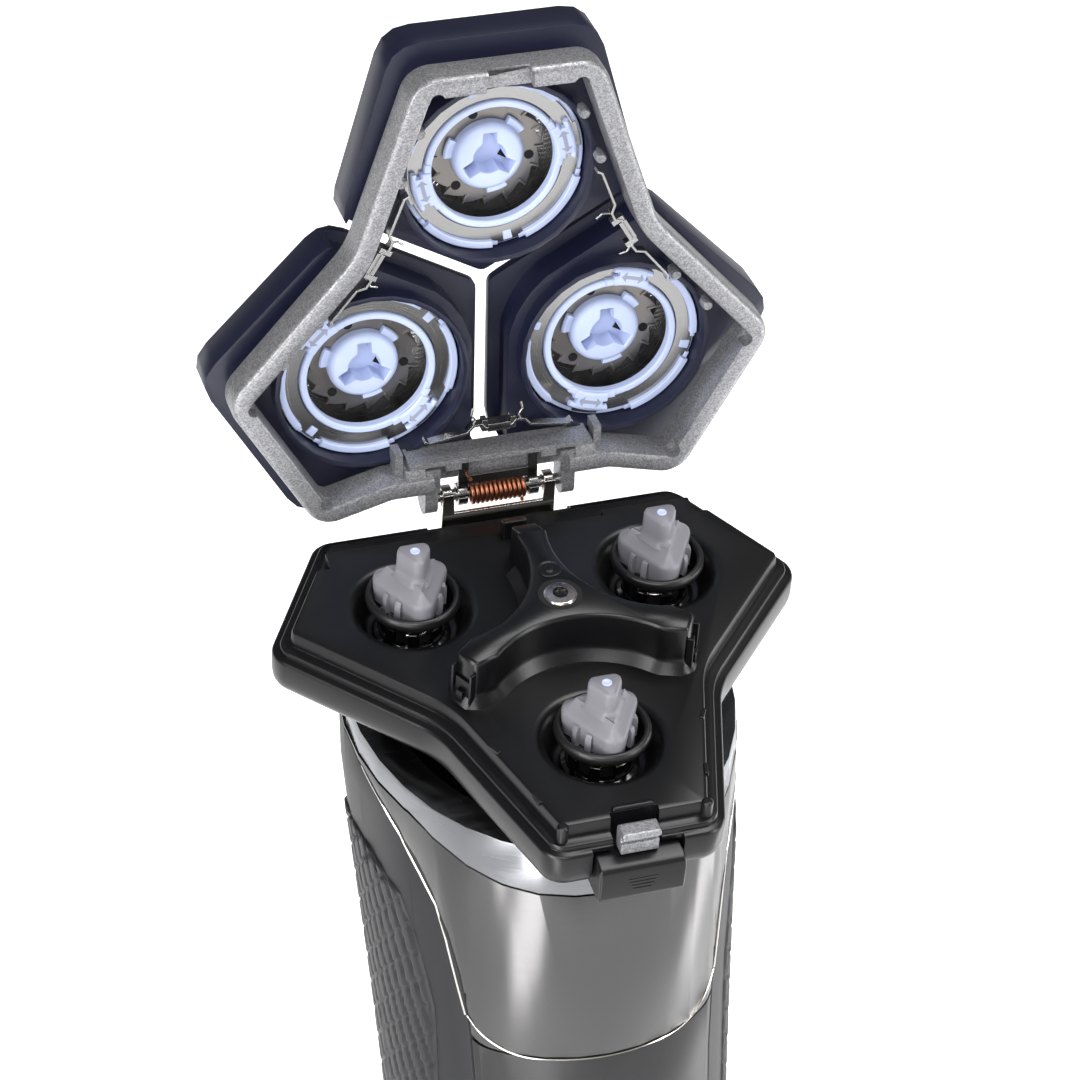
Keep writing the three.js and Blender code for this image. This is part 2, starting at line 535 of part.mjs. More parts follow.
units.forEach((unit) => {
  const { name, x, y, angle } = unit;
  addToHead(`spindle_gear_${name}`, spindleGear(unit), finishes.glossBlack);
  addToHead(`spindle_cap_${name}`, spindleCap(unit), finishes.greyPlastic);
  addToHead(`spindle_collar_${name}`, cut(
    cylinder(spindle.collarRadius, spindle.collarLow, spindle.collarHigh, x, y, 12),
    cylinder(spindle.baseRadius + gap, 0, 20, x, y)), finishes.rubber);
  addToHead(`spindle_spring_${name}`, tube(spindle.springRadius - 0.7, spindle.springRadius,
    gears.top + gap, spindle.baseLow - gap, x, y), finishes.steel);
});

// ---- Latch --------------------------------------------------------------------------------
const blockFace = sidePrism(outline([
  [latch.front + 0.6, latch.low, 0.4], [latch.back, latch.low, 0.2], [latch.back, latch.high, 0.2],
  [latch.front + 1.2, latch.high, 0.5], [latch.front, latch.high - 1.2, 0.4],
]), -latch.buttonHalf, latch.buttonHalf, 3);
addToHead('release_button', blockFace, finishes.satinBlack);
const hookFoot = latch.high + gap;
const hook = sidePrism(outline([
  [latch.hookFront + 0.5, hookFoot, 0.1], [latch.hookBack, hookFoot, 0.1],
  [latch.hookBack, latch.hookTop, 0.6], [latch.hookFront + 0.2, latch.hookTop, 0.5],
  [latch.hookFront, latch.hookTop - 0.7, 0.1], [latch.hookFront + 1, latch.hookTop - 0.9, 0.1],
  [latch.hookFront + 1, latch.hookTop - 1.7, 0.1], [latch.hookFront + 0.5, latch.hookTop - 1.7, 0.1],
]), -latch.half, latch.half, 3);
addToHead('latch_hook', hook, finishes.castSilver);

// ---- Hinge --------------------------------------------------------------------------------
addToHead('hinge_pin', crossRod(hinge.pinRadius, -hinge.pinHalf, hinge.pinHalf, hinge.y, hinge.z),
  finishes.steel);
const springCoil = cut(
  crossRod(1.7, -hinge.springHalf, hinge.springHalf, hinge.y, hinge.z),
  crossRod(1.1, -10, 10, hinge.y, hinge.z));
addToHead('torsion_spring', springCoil, finishes.copper);
const ear = (x0, x1, radius, footLow) => cut(
  join(crossRod(radius, x0, x1, hinge.y, hinge.z),
    box(x0, x1, hinge.y - radius, hinge.y + radius, footLow, hinge.z)),
  crossRod(hinge.pinRadius + runFit, x0 - 1, x1 + 1, hinge.y, hinge.z));
const plateFoot = tray.ledge - 2.6;
addToHead('hinge_bracket', join(
  ear(6.1, 7.5, 1.5, plateFoot), ear(-7.5, -6.1, 1.5, plateFoot),
  box(-7.4, 7.4, hinge.y - 0.5, hinge.y + 0.5, plateFoot, hinge.z - 2.2),
  box(-9, 9, hinge.y - 0.5, hinge.y + 1.5, plateFoot, plateFoot + 1)), finishes.steel);

// ---- Cover --------------------------------------------------------------------------------
const frameLobes = lobes(frame);
// The cover's back waist is a straight run across the hinge.
const frameCorners = frameLobes.flatMap((corner) => {
  const [x, y] = corner;
  const backWaist = Math.abs(x) < 1 && y > 0;
  return backWaist ? [[14.5, frame.hingeNotch, 3], [-14.5, frame.hingeNotch, 3]] : [corner];
});
const frameBlock = (inset, z0, z1) => prism(outline(grown(frameCorners, -inset)), z0, z1);
const hingeBay = join(
  box(-8, 8, 20.8, 40, -5, frame.high - 1.2),
  crossRod(2.2, -8, 8, hinge.y, hinge.z));
const lug = (x0, x1) => cut(
  join(crossRod(frame.lugRadius, x0, x1, hinge.y, hinge.z),
    box(x0, x1, frame.hingeNotch - 3, hinge.y, hinge.z - frame.lugRadius, hinge.z + frame.lugRadius)),
  crossRod(hinge.pinRadius + runFit, x0 - 1, x1 + 1, hinge.y, hinge.z));
const guideHole = ({ angle }) => join(...[-9.2, 9.2].map((x) => {
  const [hx, hy] = turned([x, -31.6, 0], angle);
  return cylinder(0.8, 0, frame.low + 2, hx, hy, 12);
}));
const frameOpening = join(
  frameBlock(frame.rimWidth, 0, 10), chambers(frame.podBore, 0, 10));
const coverRim = cut(
  frameBlock(0, frame.low, frame.high),
  cut(frameOpening, box(-11.5, 11.5, 21.2, 40, 0, 20)),
  hingeBay, join(...units.map(guideHole)),
  box(-latch.slotHalf, latch.slotHalf, latch.hookFront - gap, latch.hookBack + latch.travel + gap,
    0, latch.hookTop + 2 * gap));
addToCover('cover_frame', join(coverRim, lug(8, 10), lug(-10, -8)), finishes.castSilver);

const strap = {
  y: 21.4, half: 5.5, low: hinge.z - 0.8, high: hinge.z - 0.2, knuckle: 4.75, armHalf: 0.75,
};
const strapArm = (side) => join(
  box(side * strap.knuckle - strap.armHalf, side * strap.knuckle + strap.armHalf,
    strap.y + 0.8, hinge.y, strap.low, strap.high),
  crossRod(1.5, side * strap.knuckle - 0.7, side * strap.knuckle + 0.7, hinge.y, hinge.z));
addToCover('cover_hinge_bracket', cut(
  join(strapArm(1), strapArm(-1),
    box(-strap.half, strap.half, strap.y, strap.y + 1.6, strap.low, strap.high)),
  crossRod(hinge.pinRadius + runFit, -9, 9, hinge.y, hinge.z)), finishes.steel);

// Leaf springs lie along the three waists, inside the rim.
const leafStrip = (x0, x1) => box(x0, x1, -leaf.half, leaf.half, leaf.low, leaf.high);
const leafSpring = (angle) => {
  const wing = leafStrip(0, leaf.wing).rotate([0, 0, leaf.splay]).translate([1.2, 0, 0]);
  return join(leafStrip(-leaf.centreHalf, leaf.centreHalf), wing, wing.mirror([1, 0, 0]))
    .translate([0, leafReach, 0]).rotate([0, 0, angle]);
};
['right', 'left', 'back'].forEach((name, i) => {
  const spring = leafSpring([240, 120, 0][i]);
  const placed = i === 2 ? spring.translate([0, -leaf.backShift, 0]) : spring;
  addToCover(`leaf_spring_${name}`, placed, finishes.steel);
});

// ---- Shaving units ------------------------------------------------------------------------
const podCorners = (() => {
  const out = pod.overhang;
  const slot = pod.slot / 2;
  const reach = frame.waistReach + 0.6;
  const alongWaist = turned([-slot, -reach, 4], 60);
  const alongOther = turned([slot, -reach, 4], -60);
  return [
    [-frame.endHalf - out * 0.62, -frame.endReach - out, frame.cornerRound + 1],
    [frame.endHalf + out * 0.62, -frame.endReach - out, frame.cornerRound + 1],
    alongWaist, [0, -slot / Math.sin(rad(60)), 1.5], alongOther];
})();
const webClearance = join(
  cylinder(9.9, 0, pod.webClear).subtract(chambers(tray.chamberRadius - 0.6, -1, 20)),
  ...turns.map((angle) =>
    box(-tray.webHalf - 0.7, tray.webHalf + 0.7, 0, tray.webReach + 6, 0, pod.webClear)
      .rotate([0, 0, angle])));

units.forEach(({ name, x, y, angle }) => {
  const at = (solid) => solid.translate([x, y, 0]);
  const spin = (solid) => solid.rotate([0, 0, angle]);
  const shell = spin(join(
    prism(outline(podCorners), pod.low, pod.high - 1.5),
    prism(outline(grown(podCorners, -1)), pod.high - 1.6, pod.high)));
  addToCover(`pod_${name}`, cut(
    join(shell, at(cylinder(pod.skirtRadius, pod.skirtLow, pod.low + 1))),
    at(cylinder(pod.boreRadius, 0, 30)), at(cylinder(pod.seatRadius, 0, pod.seatFloor)),
    webClearance), finishes.navy);

  addToCover(`shaving_guard_${name}`, at(join(
    cut(cylinder(guard.radius, guard.flange, guard.top),
      cylinder(guard.radius - guard.thick, guard.flange - 1, guard.top - guard.thick)),
    tube(guard.radius - 0.3, guard.flangeRadius, guard.flange - 0.1, guard.flange + 0.25))), finishes.steel);

  const seatNotches = join(...[80, 170, 260, 350].map((turn) =>
    box(ring.seatInner + 0.7, 13, -0.9, 0.9, 0, ring.low + 0.7).rotate([0, 0, turn])));
  addToCover(`ring_seat_${name}`, at(spin(cut(
    tube(ring.seatInner, ring.seatOuter, ring.low, guard.flange - gap), seatNotches))), finishes.iceBlue);

  const lockTab = (turn) => cut(
    cylinder(10.05, ring.low, ring.low + 0.9), cylinder(ring.lockInner - 0.5, 0, 20))
    .intersect(box(0, 12, -3, 3, 0, 20)).rotate([0, 0, turn]);
  addToCover(`retaining_ring_${name}`, at(spin(join(
    tube(ring.lockInner, ring.lockOuter, ring.low + 0.3, guard.flange - gap),
    lockTab(166), lockTab(346)))), finishes.iceBlue);

  const saw = new THREE.Shape();
  for (let i = 0; i < cutter.teeth; i++) {
    const step = 2 * Math.PI / cutter.teeth;
    [[0, discRadius], [0.15, discRadius - cutter.toothDepth]].forEach(([share, r], j) => {
      const a = (i + share) * step;
      if (i === 0 && j === 0) saw.moveTo(r * Math.cos(a), r * Math.sin(a));
      else saw.lineTo(r * Math.cos(a), r * Math.sin(a));
    });
  }
  saw.closePath();
  const blades = join(...Array.from({ length: cutter.teeth }, (_, i) =>
    box(discRadius - cutter.toothDepth - 0.4, discRadius - 0.4,
      -cutter.bladeHalf, cutter.bladeHalf, cutter.hubTop, cutter.bladeTop)
      .rotate([0, 0, (i - 0.06) * 360 / cutter.teeth])));
  addToCover(`cutter_${name}`, at(spin(cut(
    join(prism(saw, cutter.hubTop + 0.05, cutter.hubTop + cutter.disc), blades),
    cylinder(cutter.hubBore + 0.1, 0, 20)))), finishes.steel);

  const starFloor = cutter.hubFace + cutter.starDepth;
  const starArm = (turn) =>
    box(-cutter.starHalf, cutter.starHalf, -3.5, 0, 0, starFloor).rotate([0, 0, turn]);
  addToCover(`cutter_hub_${name}`, at(spin(cut(
    cylinder(cutter.hubRadius, cutter.hubFace, cutter.hubTop - gap),
    join(...turns.map(starArm)), cylinder(cutter.hubBore, 0, starFloor)))), finishes.iceBlue);
});

export default shaver;
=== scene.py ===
# Rotary shaver with its hair chamber open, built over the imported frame, in metres.
import json
import math

import bmesh
import bpy
from mathutils import Matrix, Vector


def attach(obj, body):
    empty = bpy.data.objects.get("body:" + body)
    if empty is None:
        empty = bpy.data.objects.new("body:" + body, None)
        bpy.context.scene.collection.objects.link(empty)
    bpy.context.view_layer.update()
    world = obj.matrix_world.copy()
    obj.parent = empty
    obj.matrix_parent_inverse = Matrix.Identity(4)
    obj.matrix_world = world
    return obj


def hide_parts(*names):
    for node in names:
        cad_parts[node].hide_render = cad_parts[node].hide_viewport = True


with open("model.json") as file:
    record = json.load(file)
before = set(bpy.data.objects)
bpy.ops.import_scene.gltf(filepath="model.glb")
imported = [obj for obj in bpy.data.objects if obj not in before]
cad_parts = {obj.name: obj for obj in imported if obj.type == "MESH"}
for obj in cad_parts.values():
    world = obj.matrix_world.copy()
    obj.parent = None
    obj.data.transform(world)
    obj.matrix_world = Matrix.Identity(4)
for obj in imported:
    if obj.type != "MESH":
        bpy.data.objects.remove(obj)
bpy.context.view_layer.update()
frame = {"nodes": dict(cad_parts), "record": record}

mm = 0.001
scene = bpy.context.scene

# where the main pieces sit, in millimetres and degrees
layout = {"headHeight": 138, "headTilt": 12.5, "openAngle": 96.7, "hinge": (0, 27.1, 4.18), "circle": 18.5}
units = {"front": 0, "right": 120, "left": 240}  # each unit's turn about the head's axis
hingeLine = Vector(layout["hinge"])
upright = Matrix.Identity(4)
headPlace = (Matrix.Translation((0, 0, layout["headHeight"]))
             @ Matrix.Rotation(math.radians(layout["headTilt"]), 4, "X"))
coverPlace = (headPlace @ Matrix.Translation(hingeLine)
              @ Matrix.Rotation(math.radians(-layout["openAngle"]), 4, "X") @ Matrix.Translation(-hingeLine))


# The middle of one shaving unit, with -Y pointing outward.
def unitPlace(place, turn):
    outward = Matrix.Translation((0, -layout["circle"], 0))
    return place @ Matrix.Rotation(math.radians(turn), 4, "Z") @ outward


# An sRGB hex code as the linear colour that shaders take.
def linear(code):
    parts = [int(code[i:i + 2], 16) / 255 for i in (1, 3, 5)]
    return [c / 12.92 if c <= 0.04045 else ((c + 0.055) / 1.055) ** 2.4 for c in parts] + [1]


# A shader node; a setting goes to the input of that name, or else to the node's own property.
def addNode(tree, kind, settings=None, links=None):
    made = tree.nodes.new("ShaderNode" + kind)
    for key, value in (settings or {}).items():
        if isinstance(key, int) or key in made.inputs:
            made.inputs[key].default_value = value
        else:
            setattr(made, key, value)
    for key, source in (links or {}).items():
        tree.links.new(source, made.inputs[key])
    return made


# A Principled material. dress(tree) returns the shader inputs that vary over the surface.
def surface(name, settings, dress=None):
    material = bpy.data.materials.new(name)
    material.use_nodes = True
    tree = material.node_tree
    tree.nodes.clear()
    shader = addNode(tree, "BsdfPrincipled", settings, dress(tree) if dress else None)
    out = tree.nodes.new("ShaderNodeOutputMaterial")
    tree.links.new(shader.outputs[0], out.inputs["Surface"])
    return material


# Bump from grains of that size in millimetres, strength in millimetres of height.
def grainOf(tree, size, strength, kind="Noise"):
    where = addNode(tree, "TexCoord")
    grain = addNode(tree, "Tex" + kind, {"Scale": 1 / (size * mm)}, {"Vector": where.outputs["Object"]})
    height = grain.outputs["Distance" if kind == "Voronoi" else 0]
    return grain, addNode(tree, "Bump", {"Strength": 1, "Distance": strength * mm}, {"Height": height})


# Colour between two hex colours.
def mixed(tree, factor, first, second):
    mix = addNode(tree, "Mix", {"data_type": "RGBA"})
    mix.inputs[6].default_value, mix.inputs[7].default_value = linear(first), linear(second)
    tree.links.new(factor, mix.inputs[0])
    return mix.outputs[2]


def speckledPaint(tree):  # metallic flake paint over a die casting
    grain, bump = grainOf(tree, 0.17, 0.008, "Voronoi")
    flake = addNode(tree, "SeparateColor", links={"Color": grain.outputs["Color"]})
    spread = addNode(tree, "MapRange", {"From Min": 0.0, "From Max": 1.0, "To Min": 0.30, "To Max": 0.62},
                     {"Value": flake.outputs[1]})
    return {"Base Color": mixed(tree, flake.outputs[0], "#77777A", "#A6A6A9"),
            "Roughness": spread.outputs[0], "Normal": bump.outputs[0]}


# A noise's middle range read as a value between low and high.
def between(tree, noise, low, high):
    spread = {"From Min": 0.3, "From Max": 0.7, "To Min": low, "To Max": high}
    return addNode(tree, "MapRange", spread, {"Value": noise.outputs[0]})


# The small bumps that a mould or a coating leaves.
def fineGrain(size, strength):
    def dress(tree):
        return {"Normal": grainOf(tree, size, strength)[1].outputs[0]}
    return dress


# Lines that run round a turned or ring-shaped piece, from its polar map.
def turnedLines(low, high, fine=3.0):
    def dress(tree):
        where = addNode(tree, "UVMap", {"uv_map": "polar"})
        squeeze = addNode(tree, "Mapping", {"Scale": (0.6, fine, 1)}, {"Vector": where.outputs[0]})
        lines = addNode(tree, "TexNoise", {"Scale": 2.0, "Detail": 2.0}, {"Vector": squeeze.outputs[0]})
        return {"Roughness": between(tree, lines, low, high).outputs[0]}
    return dress


# Noise squeezed into fine lines by a factor per axis, and a roughness that follows it.
def lineNoise(tree, stretch, size, low, high):
    where = addNode(tree, "TexCoord")
    squeeze = addNode(tree, "Mapping", {"Scale": stretch}, {"Vector": where.outputs["Object"]})
    fineness = {"Scale": 1 / (size * mm), "Detail": 2.0}
    lines = addNode(tree, "TexNoise", fineness, {"Vector": squeeze.outputs[0]})
    return lines, between(tree, lines, low, high)


# Fine lines round the handle, which draw reflections out up and down.
def stretched(low, high):
    def dress(tree):
        around = addNode(tree, "Tangent", {"direction_type": "RADIAL", "axis": "Z"})
        return {"Roughness": lineNoise(tree, (1, 1, 30), 8, low, high)[1].outputs[0],
                "Tangent": around.outputs[0]}
    return dress


# Fine drawn lines along the height.
def drawn(low, high):
    def dress(tree):
        lines, rough = lineNoise(tree, (30, 30, 1), 3, low, high)
        bump = addNode(tree, "Bump", {"Strength": 0.25, "Distance": 0.004 * mm}, {"Height": lines.outputs[0]})
        return {"Roughness": rough.outputs[0], "Normal": bump.outputs[0]}
    return dress


finishes = {
    # sprayed metallic flake on cast metal: tiny bright and dark grains, soft sheen
    "cast_silver": surface("speckledSilverPaintSprayedOnCasting", {"Metallic": 0.65}, speckledPaint),
    # spark-eroded mould texture on dark blue plastic: dull, even, faintly grainy
    "navy_plastic": surface("navyAbsFineMouldTexture",
                            {"Base Color": linear("#10132A"), "Roughness": 0.42, "IOR": 1.5},
                            fineGrain(0.35, 0.01)),
    # semi-gloss moulded acetal: pale, smooth, slightly waxy
    "ice_blue_plastic": surface("paleBlueAcetalMoulded",
                                {"Base Color": linear("#B6C2E2"), "Roughness": 0.36, "IOR": 1.48},
                                fineGrain(0.8, 0.004)),
    # lightly grained black tray plastic: deep black with a soft broad sheen
    "satin_black": surface("blackPolycarbonateSatinMoulded",
                           {"Base Color": linear("#08080A"), "Roughness": 0.32, "IOR": 1.45},
                           fineGrain(0.3, 0.006)),
    # polished mould: clean reflections
    "gloss_black": surface("blackPolycarbonatePolishedMould",
                           {"Base Color": linear("#060607"), "Roughness": 0.09, "IOR": 1.52},
                           fineGrain(6, 0.002)),
    # dark vapour-coated trim with fine lines round it: streaked grey reflections
    "collar_chrome": surface("darkChromeBrushedRound",
                             {"Base Color": linear("#86878A"), "Metallic": 1.0, "Anisotropic": 0.7,
                              "Anisotropic Rotation": 0.25}, stretched(0.2, 0.28)),
    # dark lacquered metal effect: mirror bands stretched up and down
    "gunmetal_panel": surface("gunmetalLacquerBrushedRound",
                              {"Base Color": linear("#626161"), "Metallic": 1.0, "Anisotropic": 0.7,
                               "Anisotropic Rotation": 0.25}, stretched(0.24, 0.27)),
    # satin moulding with a little metal pigment: dark, with a soft wide sheen
    "charcoal_panel": surface("charcoalPlasticSatinMoulded",
                              {"Base Color": linear("#2C2B2C"), "Roughness": 0.38, "Metallic": 0.3},
                              fineGrain(0.3, 0.008)),
    # soft overmoulded rubber: broad, dull sheen
    "grip_rubber": surface("charcoalElastomerOvermoulded",
                           {"Base Color": linear("#141417"), "Roughness": 0.5, "IOR": 1.46},
                           fineGrain(0.2, 0.01)),
    # pressed spring strip: bright with short scratches
    "spring_steel": surface("stainlessStripPressed",
                            {"Base Color": linear("#A9A8A7"), "Metallic": 1.0},
                            turnedLines(0.22, 0.28)),
    # lacquered wire: warm, glossy
    "copper_wire": surface("copperColouredWireDrawn",
                           {"Base Color": linear("#9A6248"), "Metallic": 1.0},
                           drawn(0.25, 0.4)),
    # unpainted mid-grey moulding: even, waxy
    "grey_plastic": surface("greyAcetalMoulded",
                            {"Base Color": linear("#77767C"), "Roughness": 0.42, "IOR": 1.48},
                            fineGrain(0.4, 0.006)),
    # moulded seal: black, slightly shiny
    "black_rubber": surface("blackNitrileSealMoulded",
                            {"Base Color": linear("#0E0E0F"), "Roughness": 0.38, "IOR": 1.52},
                            fineGrain(0.6, 0.01)),
    # pad-printed mark: flat and matt
    "arrow_grey": surface("greyInkPadPrinted", {"Base Color": linear("#8F95A6"), "Roughness": 0.6},
                          fineGrain(0.5, 0.002)),
    # painted shade: a near-black dull surface put where hollows, holes and slots lie in shade
    "deep_shadow": surface("blackHollowMouldedDull", {"Base Color": linear("#050506"), "Roughness": 0.8},
                           fineGrain(0.5, 0.002)),
    # polished pressing: nearly mirror bright, fine scratches
    "bright_steel": surface("stainlessPressedPolished", {"Base Color": linear("#DAD6D0"), "Metallic": 1.0},
                            turnedLines(0.14, 0.26, 1.5)),
    # pressed and ground tool steel: grey with a fine even scratch
    "cutter_steel": surface("toolSteelPressedAndGround", {"Base Color": linear("#8B8783"), "Metallic": 1.0},
                            turnedLines(0.3, 0.42, 4.0)),
    # printed solder mask over a board: even green, slightly glossy
    "circuit_board": surface("greenSolderMaskPrinted",
                             {"Base Color": linear("#1F5A38"), "Roughness": 0.4}, fineGrain(1, 0.01)),
    # film shrunk over a cell: smooth, with faint broad ripples
    "cell_wrap": surface("blueShrinkFilmOverCell",
                         {"Base Color": linear("#2F5F8A"), "Roughness": 0.3}, fineGrain(3, 0.02)),
}
print("materials made")


# Makes the finished object from a mesh that is already in the row's metres.
def keep(name, mesh, body, slot, nodes=(), bevel=0.25, angle=34, segments=2):
    thing = bpy.data.objects.new(name, mesh)
    scene.collection.objects.link(thing)
    mesh.materials.clear()
    mesh.materials.append(finishes[slot])
    mesh.shade_smooth()
    if bevel:
        edge = thing.modifiers.new("softEdges", "BEVEL")
        edge.width, edge.segments = bevel * mm, segments
        edge.limit_method, edge.angle_limit = "ANGLE", math.radians(angle)
        edge.harden_normals = True
    else:
        mesh.set_sharp_from_angle(angle=math.radians(angle))
    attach(thing, body)
    if nodes:
        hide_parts(*nodes)


bodies = frame["record"]["behaviour"]["bodies"]
bodyOf = {node: body for body, nodes in bodies.items() for node in nodes}
slotOf = {entry["node"]: entry["material_slot"] for entry in frame["record"]["subparts"]}
remade = set()


def camel(text):
    first, *rest = text.split("_")
    return first + "".join(word.capitalize() for word in rest)


# The CAD node's own shape with its flats merged and its edges softened.
def carryOver(node):
    mesh = frame["nodes"][node].data.copy()
    bm = bmesh.new()
    bm.from_mesh(mesh)
    bmesh.ops.remove_doubles(bm, verts=bm.verts, dist=0.01 * mm)
    bmesh.ops.dissolve_limit(bm, angle_limit=math.radians(1.5), verts=bm.verts, edges=bm.edges)
    bm.to_mesh(mesh)
    bm.free()
    keep(camel(node) + "Shape", mesh, bodyOf[node], slotOf[node], [node])


# Points and outward normals round an outline; corners are [x, y, rounding], anticlockwise.
def track(corners, steps):
    spots = []
    for i, (x, y, r) in enumerate(corners):
        (px, py, _), (nx, ny, _) = corners[i - 1], corners[(i + 1) % len(corners)]
        a, b = Vector((x - px, y - py)).normalized(), Vector((nx - x, ny - y)).normalized()
        bend = math.atan2(a.x * b.y - a.y * b.x, a.dot(b))
        side = 1 if bend > 0 else -1
        centre = Vector((x, y)) - a * r * math.tan(abs(bend) / 2) + Vector((-a.y, a.x)) * r * side
        for k in range(steps + 1):
            d = Matrix.Rotation(bend * k / steps, 2) @ a
            out = Vector((d.y, -d.x))
            spots.append((centre + out * r * side, out))
    return spots


# A track of no size, so that an offset from it is a radius.
def circle(steps, x=0, y=0):
    turns = [math.tau * k / steps for k in range(steps)]
    return [(Vector((x, y)), Vector((math.cos(t), math.sin(t)))) for t in turns]


# Quads between rows of points. loop joins each row's ends, closed joins the last row to the first.
def skin(bm, rows, loop=True, closed=False, caps=True):
    made = [[bm.verts.new(p) for p in row] for row in rows]
    pairs = list(zip(made, made[1:])) + ([(made[-1], made[0])] if closed else [])
    count = len(made[0])
    for low, high in pairs:
        for i in range(count if loop else count - 1):
            j = (i + 1) % count
            bm.faces.new((low[i], low[j], high[j], high[i]))
    if caps and not closed:
        bm.faces.new(list(reversed(made[0])))
        bm.faces.new(made[-1])
    return made


# Runs a section of (offset, z) round a track.
def wall(bm, spots, section, closed=False, caps=True):
    return skin(bm, [[(p.x + n.x * off, p.y + n.y * off, z) for p, n in spots] for off, z in section],
                closed=closed, caps=caps)


# A section for wall and arc: a flat ring with chamfered rims.
def ringSection(inner, outer, low, high, soft=0.12):
    return [(inner, low + soft), (inner + soft, low), (outer - soft, low), (outer, low + soft),
            (outer, high - soft), (outer - soft, high), (inner + soft, high), (inner, high - soft)]


# Runs a closed section of (radius, z) from one angle to another, in degrees.
def arc(bm, section, start, end):
    steps = max(2, int(abs(end - start) / 4))
    rows = []
    for k in range(steps + 1):
        t = math.radians(start + (end - start) * k / steps)
        rows.append([(r * math.cos(t), r * math.sin(t), z) for r, z in section])
    skin(bm, rows)


# A round wire along points.
def wire(bm, points, radius, sides=8):
    points = [Vector(p) for p in points]
    rows, side = [], None
    for i, p in enumerate(points):
        ahead = (points[min(i + 1, len(points) - 1)] - points[max(i - 1, 0)]).normalized()
        side = ahead.orthogonal() if side is None else side - ahead * side.dot(ahead)
        side.normalize()
        other = ahead.cross(side)
        rows.append([p + (side * math.cos(a) + other * math.sin(a)) * radius
                     for a in (math.tau * k / sides for k in range(sides))])
    skin(bm, rows)


# A box, turned about the vertical axis.
def block(bm, x0, x1, y0, y1, z0, z1, turn=0):
    place = (Matrix.Rotation(math.radians(turn), 4, "Z")
             @ Matrix.Translation(((x0 + x1) / 2, (y0 + y1) / 2, (z0 + z1) / 2))
             @ Matrix.Diagonal((x1 - x0, y1 - y0, z1 - z0, 1)))
    bmesh.ops.create_cube(bm, size=1, matrix=place)


# A bent strip standing on edge, along a path of (x, y).
def strip(bm, path, thick, z0, z1):
    points = [Vector(p) for p in path]
    rows = []
    for i, p in enumerate(points):
        ahead = (points[min(i + 1, len(points) - 1)] - points[max(i - 1, 0)]).normalized()
        n = Vector((-ahead.y, ahead.x)) * thick / 2
        rows.append([(p.x + n.x, p.y + n.y, z0), (p.x - n.x, p.y - n.y, z0),
                     (p.x - n.x, p.y - n.y, z1), (p.x + n.x, p.y + n.y, z1)])
    skin(bm, rows)


# A side-view outline of (y, z) run from x0 to x1.
def across(bm, shape, x0, x1):
    skin(bm, [[(x, y, z) for y, z in shape] for x in (x0, x1)])


# The shape in the row's metres, with a polar map for round finishes: angle, and radius plus height.
def meshFrom(name, bm, place):
    bmesh.ops.recalc_face_normals(bm, faces=bm.faces)
    layer = bm.loops.layers.uv.new("polar")
    for face in bm.faces:
        for loop in face.loops:
            x, y, z = loop.vert.co
            loop[layer].uv = (math.atan2(y, x), math.hypot(x, y) + z)
    bm.transform(Matrix.Scale(mm, 4) @ place)
    mesh = bpy.data.meshes.new(name)
    bm.to_mesh(mesh)
    bm.free()
    return mesh


# mesh with the cutter's shape taken out; both are bmesh solids in the same axes.
def carve(mesh, cutter):
    made = []
    for bm in (mesh, cutter):
        bmesh.ops.recalc_face_normals(bm, faces=bm.faces)
        data = bpy.data.meshes.new("carving")
        bm.to_mesh(data)
        bm.free()
        thing = bpy.data.objects.new("carving", data)
        scene.collection.objects.link(thing)
        made.append(thing)
    step = made[0].modifiers.new("carve", "BOOLEAN")
    step.operation, step.object, step.solver = "DIFFERENCE", made[1], "EXACT"
    step.use_self = True
    result = bmesh.new()
    result.from_object(made[0], bpy.context.evaluated_depsgraph_get())
    for thing in made:
        bpy.data.meshes.remove(thing.data)
    bmesh.ops.dissolve_limit(result, angle_limit=math.radians(0.5), verts=result.verts, edges=result.edges)
    return result


# A finished piece that stands in for those CAD nodes.
def piece(name, bm, place, body, slot, nodes=(), **edges):
    remade.update(nodes)
    keep(name, meshFrom(name, bm, place), body, slot, nodes, **edges)


# A point of the head's plan, turned about the head's axis.
def turned(x, y, angle):
    return Matrix.Rotation(math.radians(angle), 2) @ Vector((x, y))


def ringSeat(name, place):
    look = {"arcs": [(192, 248), (260, 318), (12, 72), (86, 144)], "inner": 10.75, "outer": 11.7,
            "face": 7.55, "step": 8.1, "back": 9.2, "pins": (79, 254)}
    bm = bmesh.new()
    wall(bm, circle(120), ringSection(10.95, look["outer"], 8.45, look["back"]), closed=True)
    for start, end in look["arcs"]:
        arc(bm, ringSection(look["inner"], look["outer"], look["face"], 9), start + 4, end - 4)
        arc(bm, ringSection(look["inner"] + 0.3, look["outer"], look["step"], 9), start, end)
    for turn in look["pins"]:
        arc(bm, ringSection(9.9, 11.2, 8.0, 9), turn - 3, turn + 3)
    piece("ringSeat" + name, bm, place, "pod_" + name.lower(), "ice_blue_plastic",
          ["ring_seat_" + name.lower()], bevel=0.08)
    bm = bmesh.new()
    wall(bm, circle(120), ringSection(9.0, 11.0, 8.2, 8.5, 0.06), closed=True)
    for turn in (39, 79, 166, 219, 254, 346):
        arc(bm, ringSection(10.8, 11.4, 8.2, 8.5, 0.06), turn - 9, turn + 9)
    piece("guardFlange" + name, bm, place, "pod_" + name.lower(), "spring_steel", bevel=0)


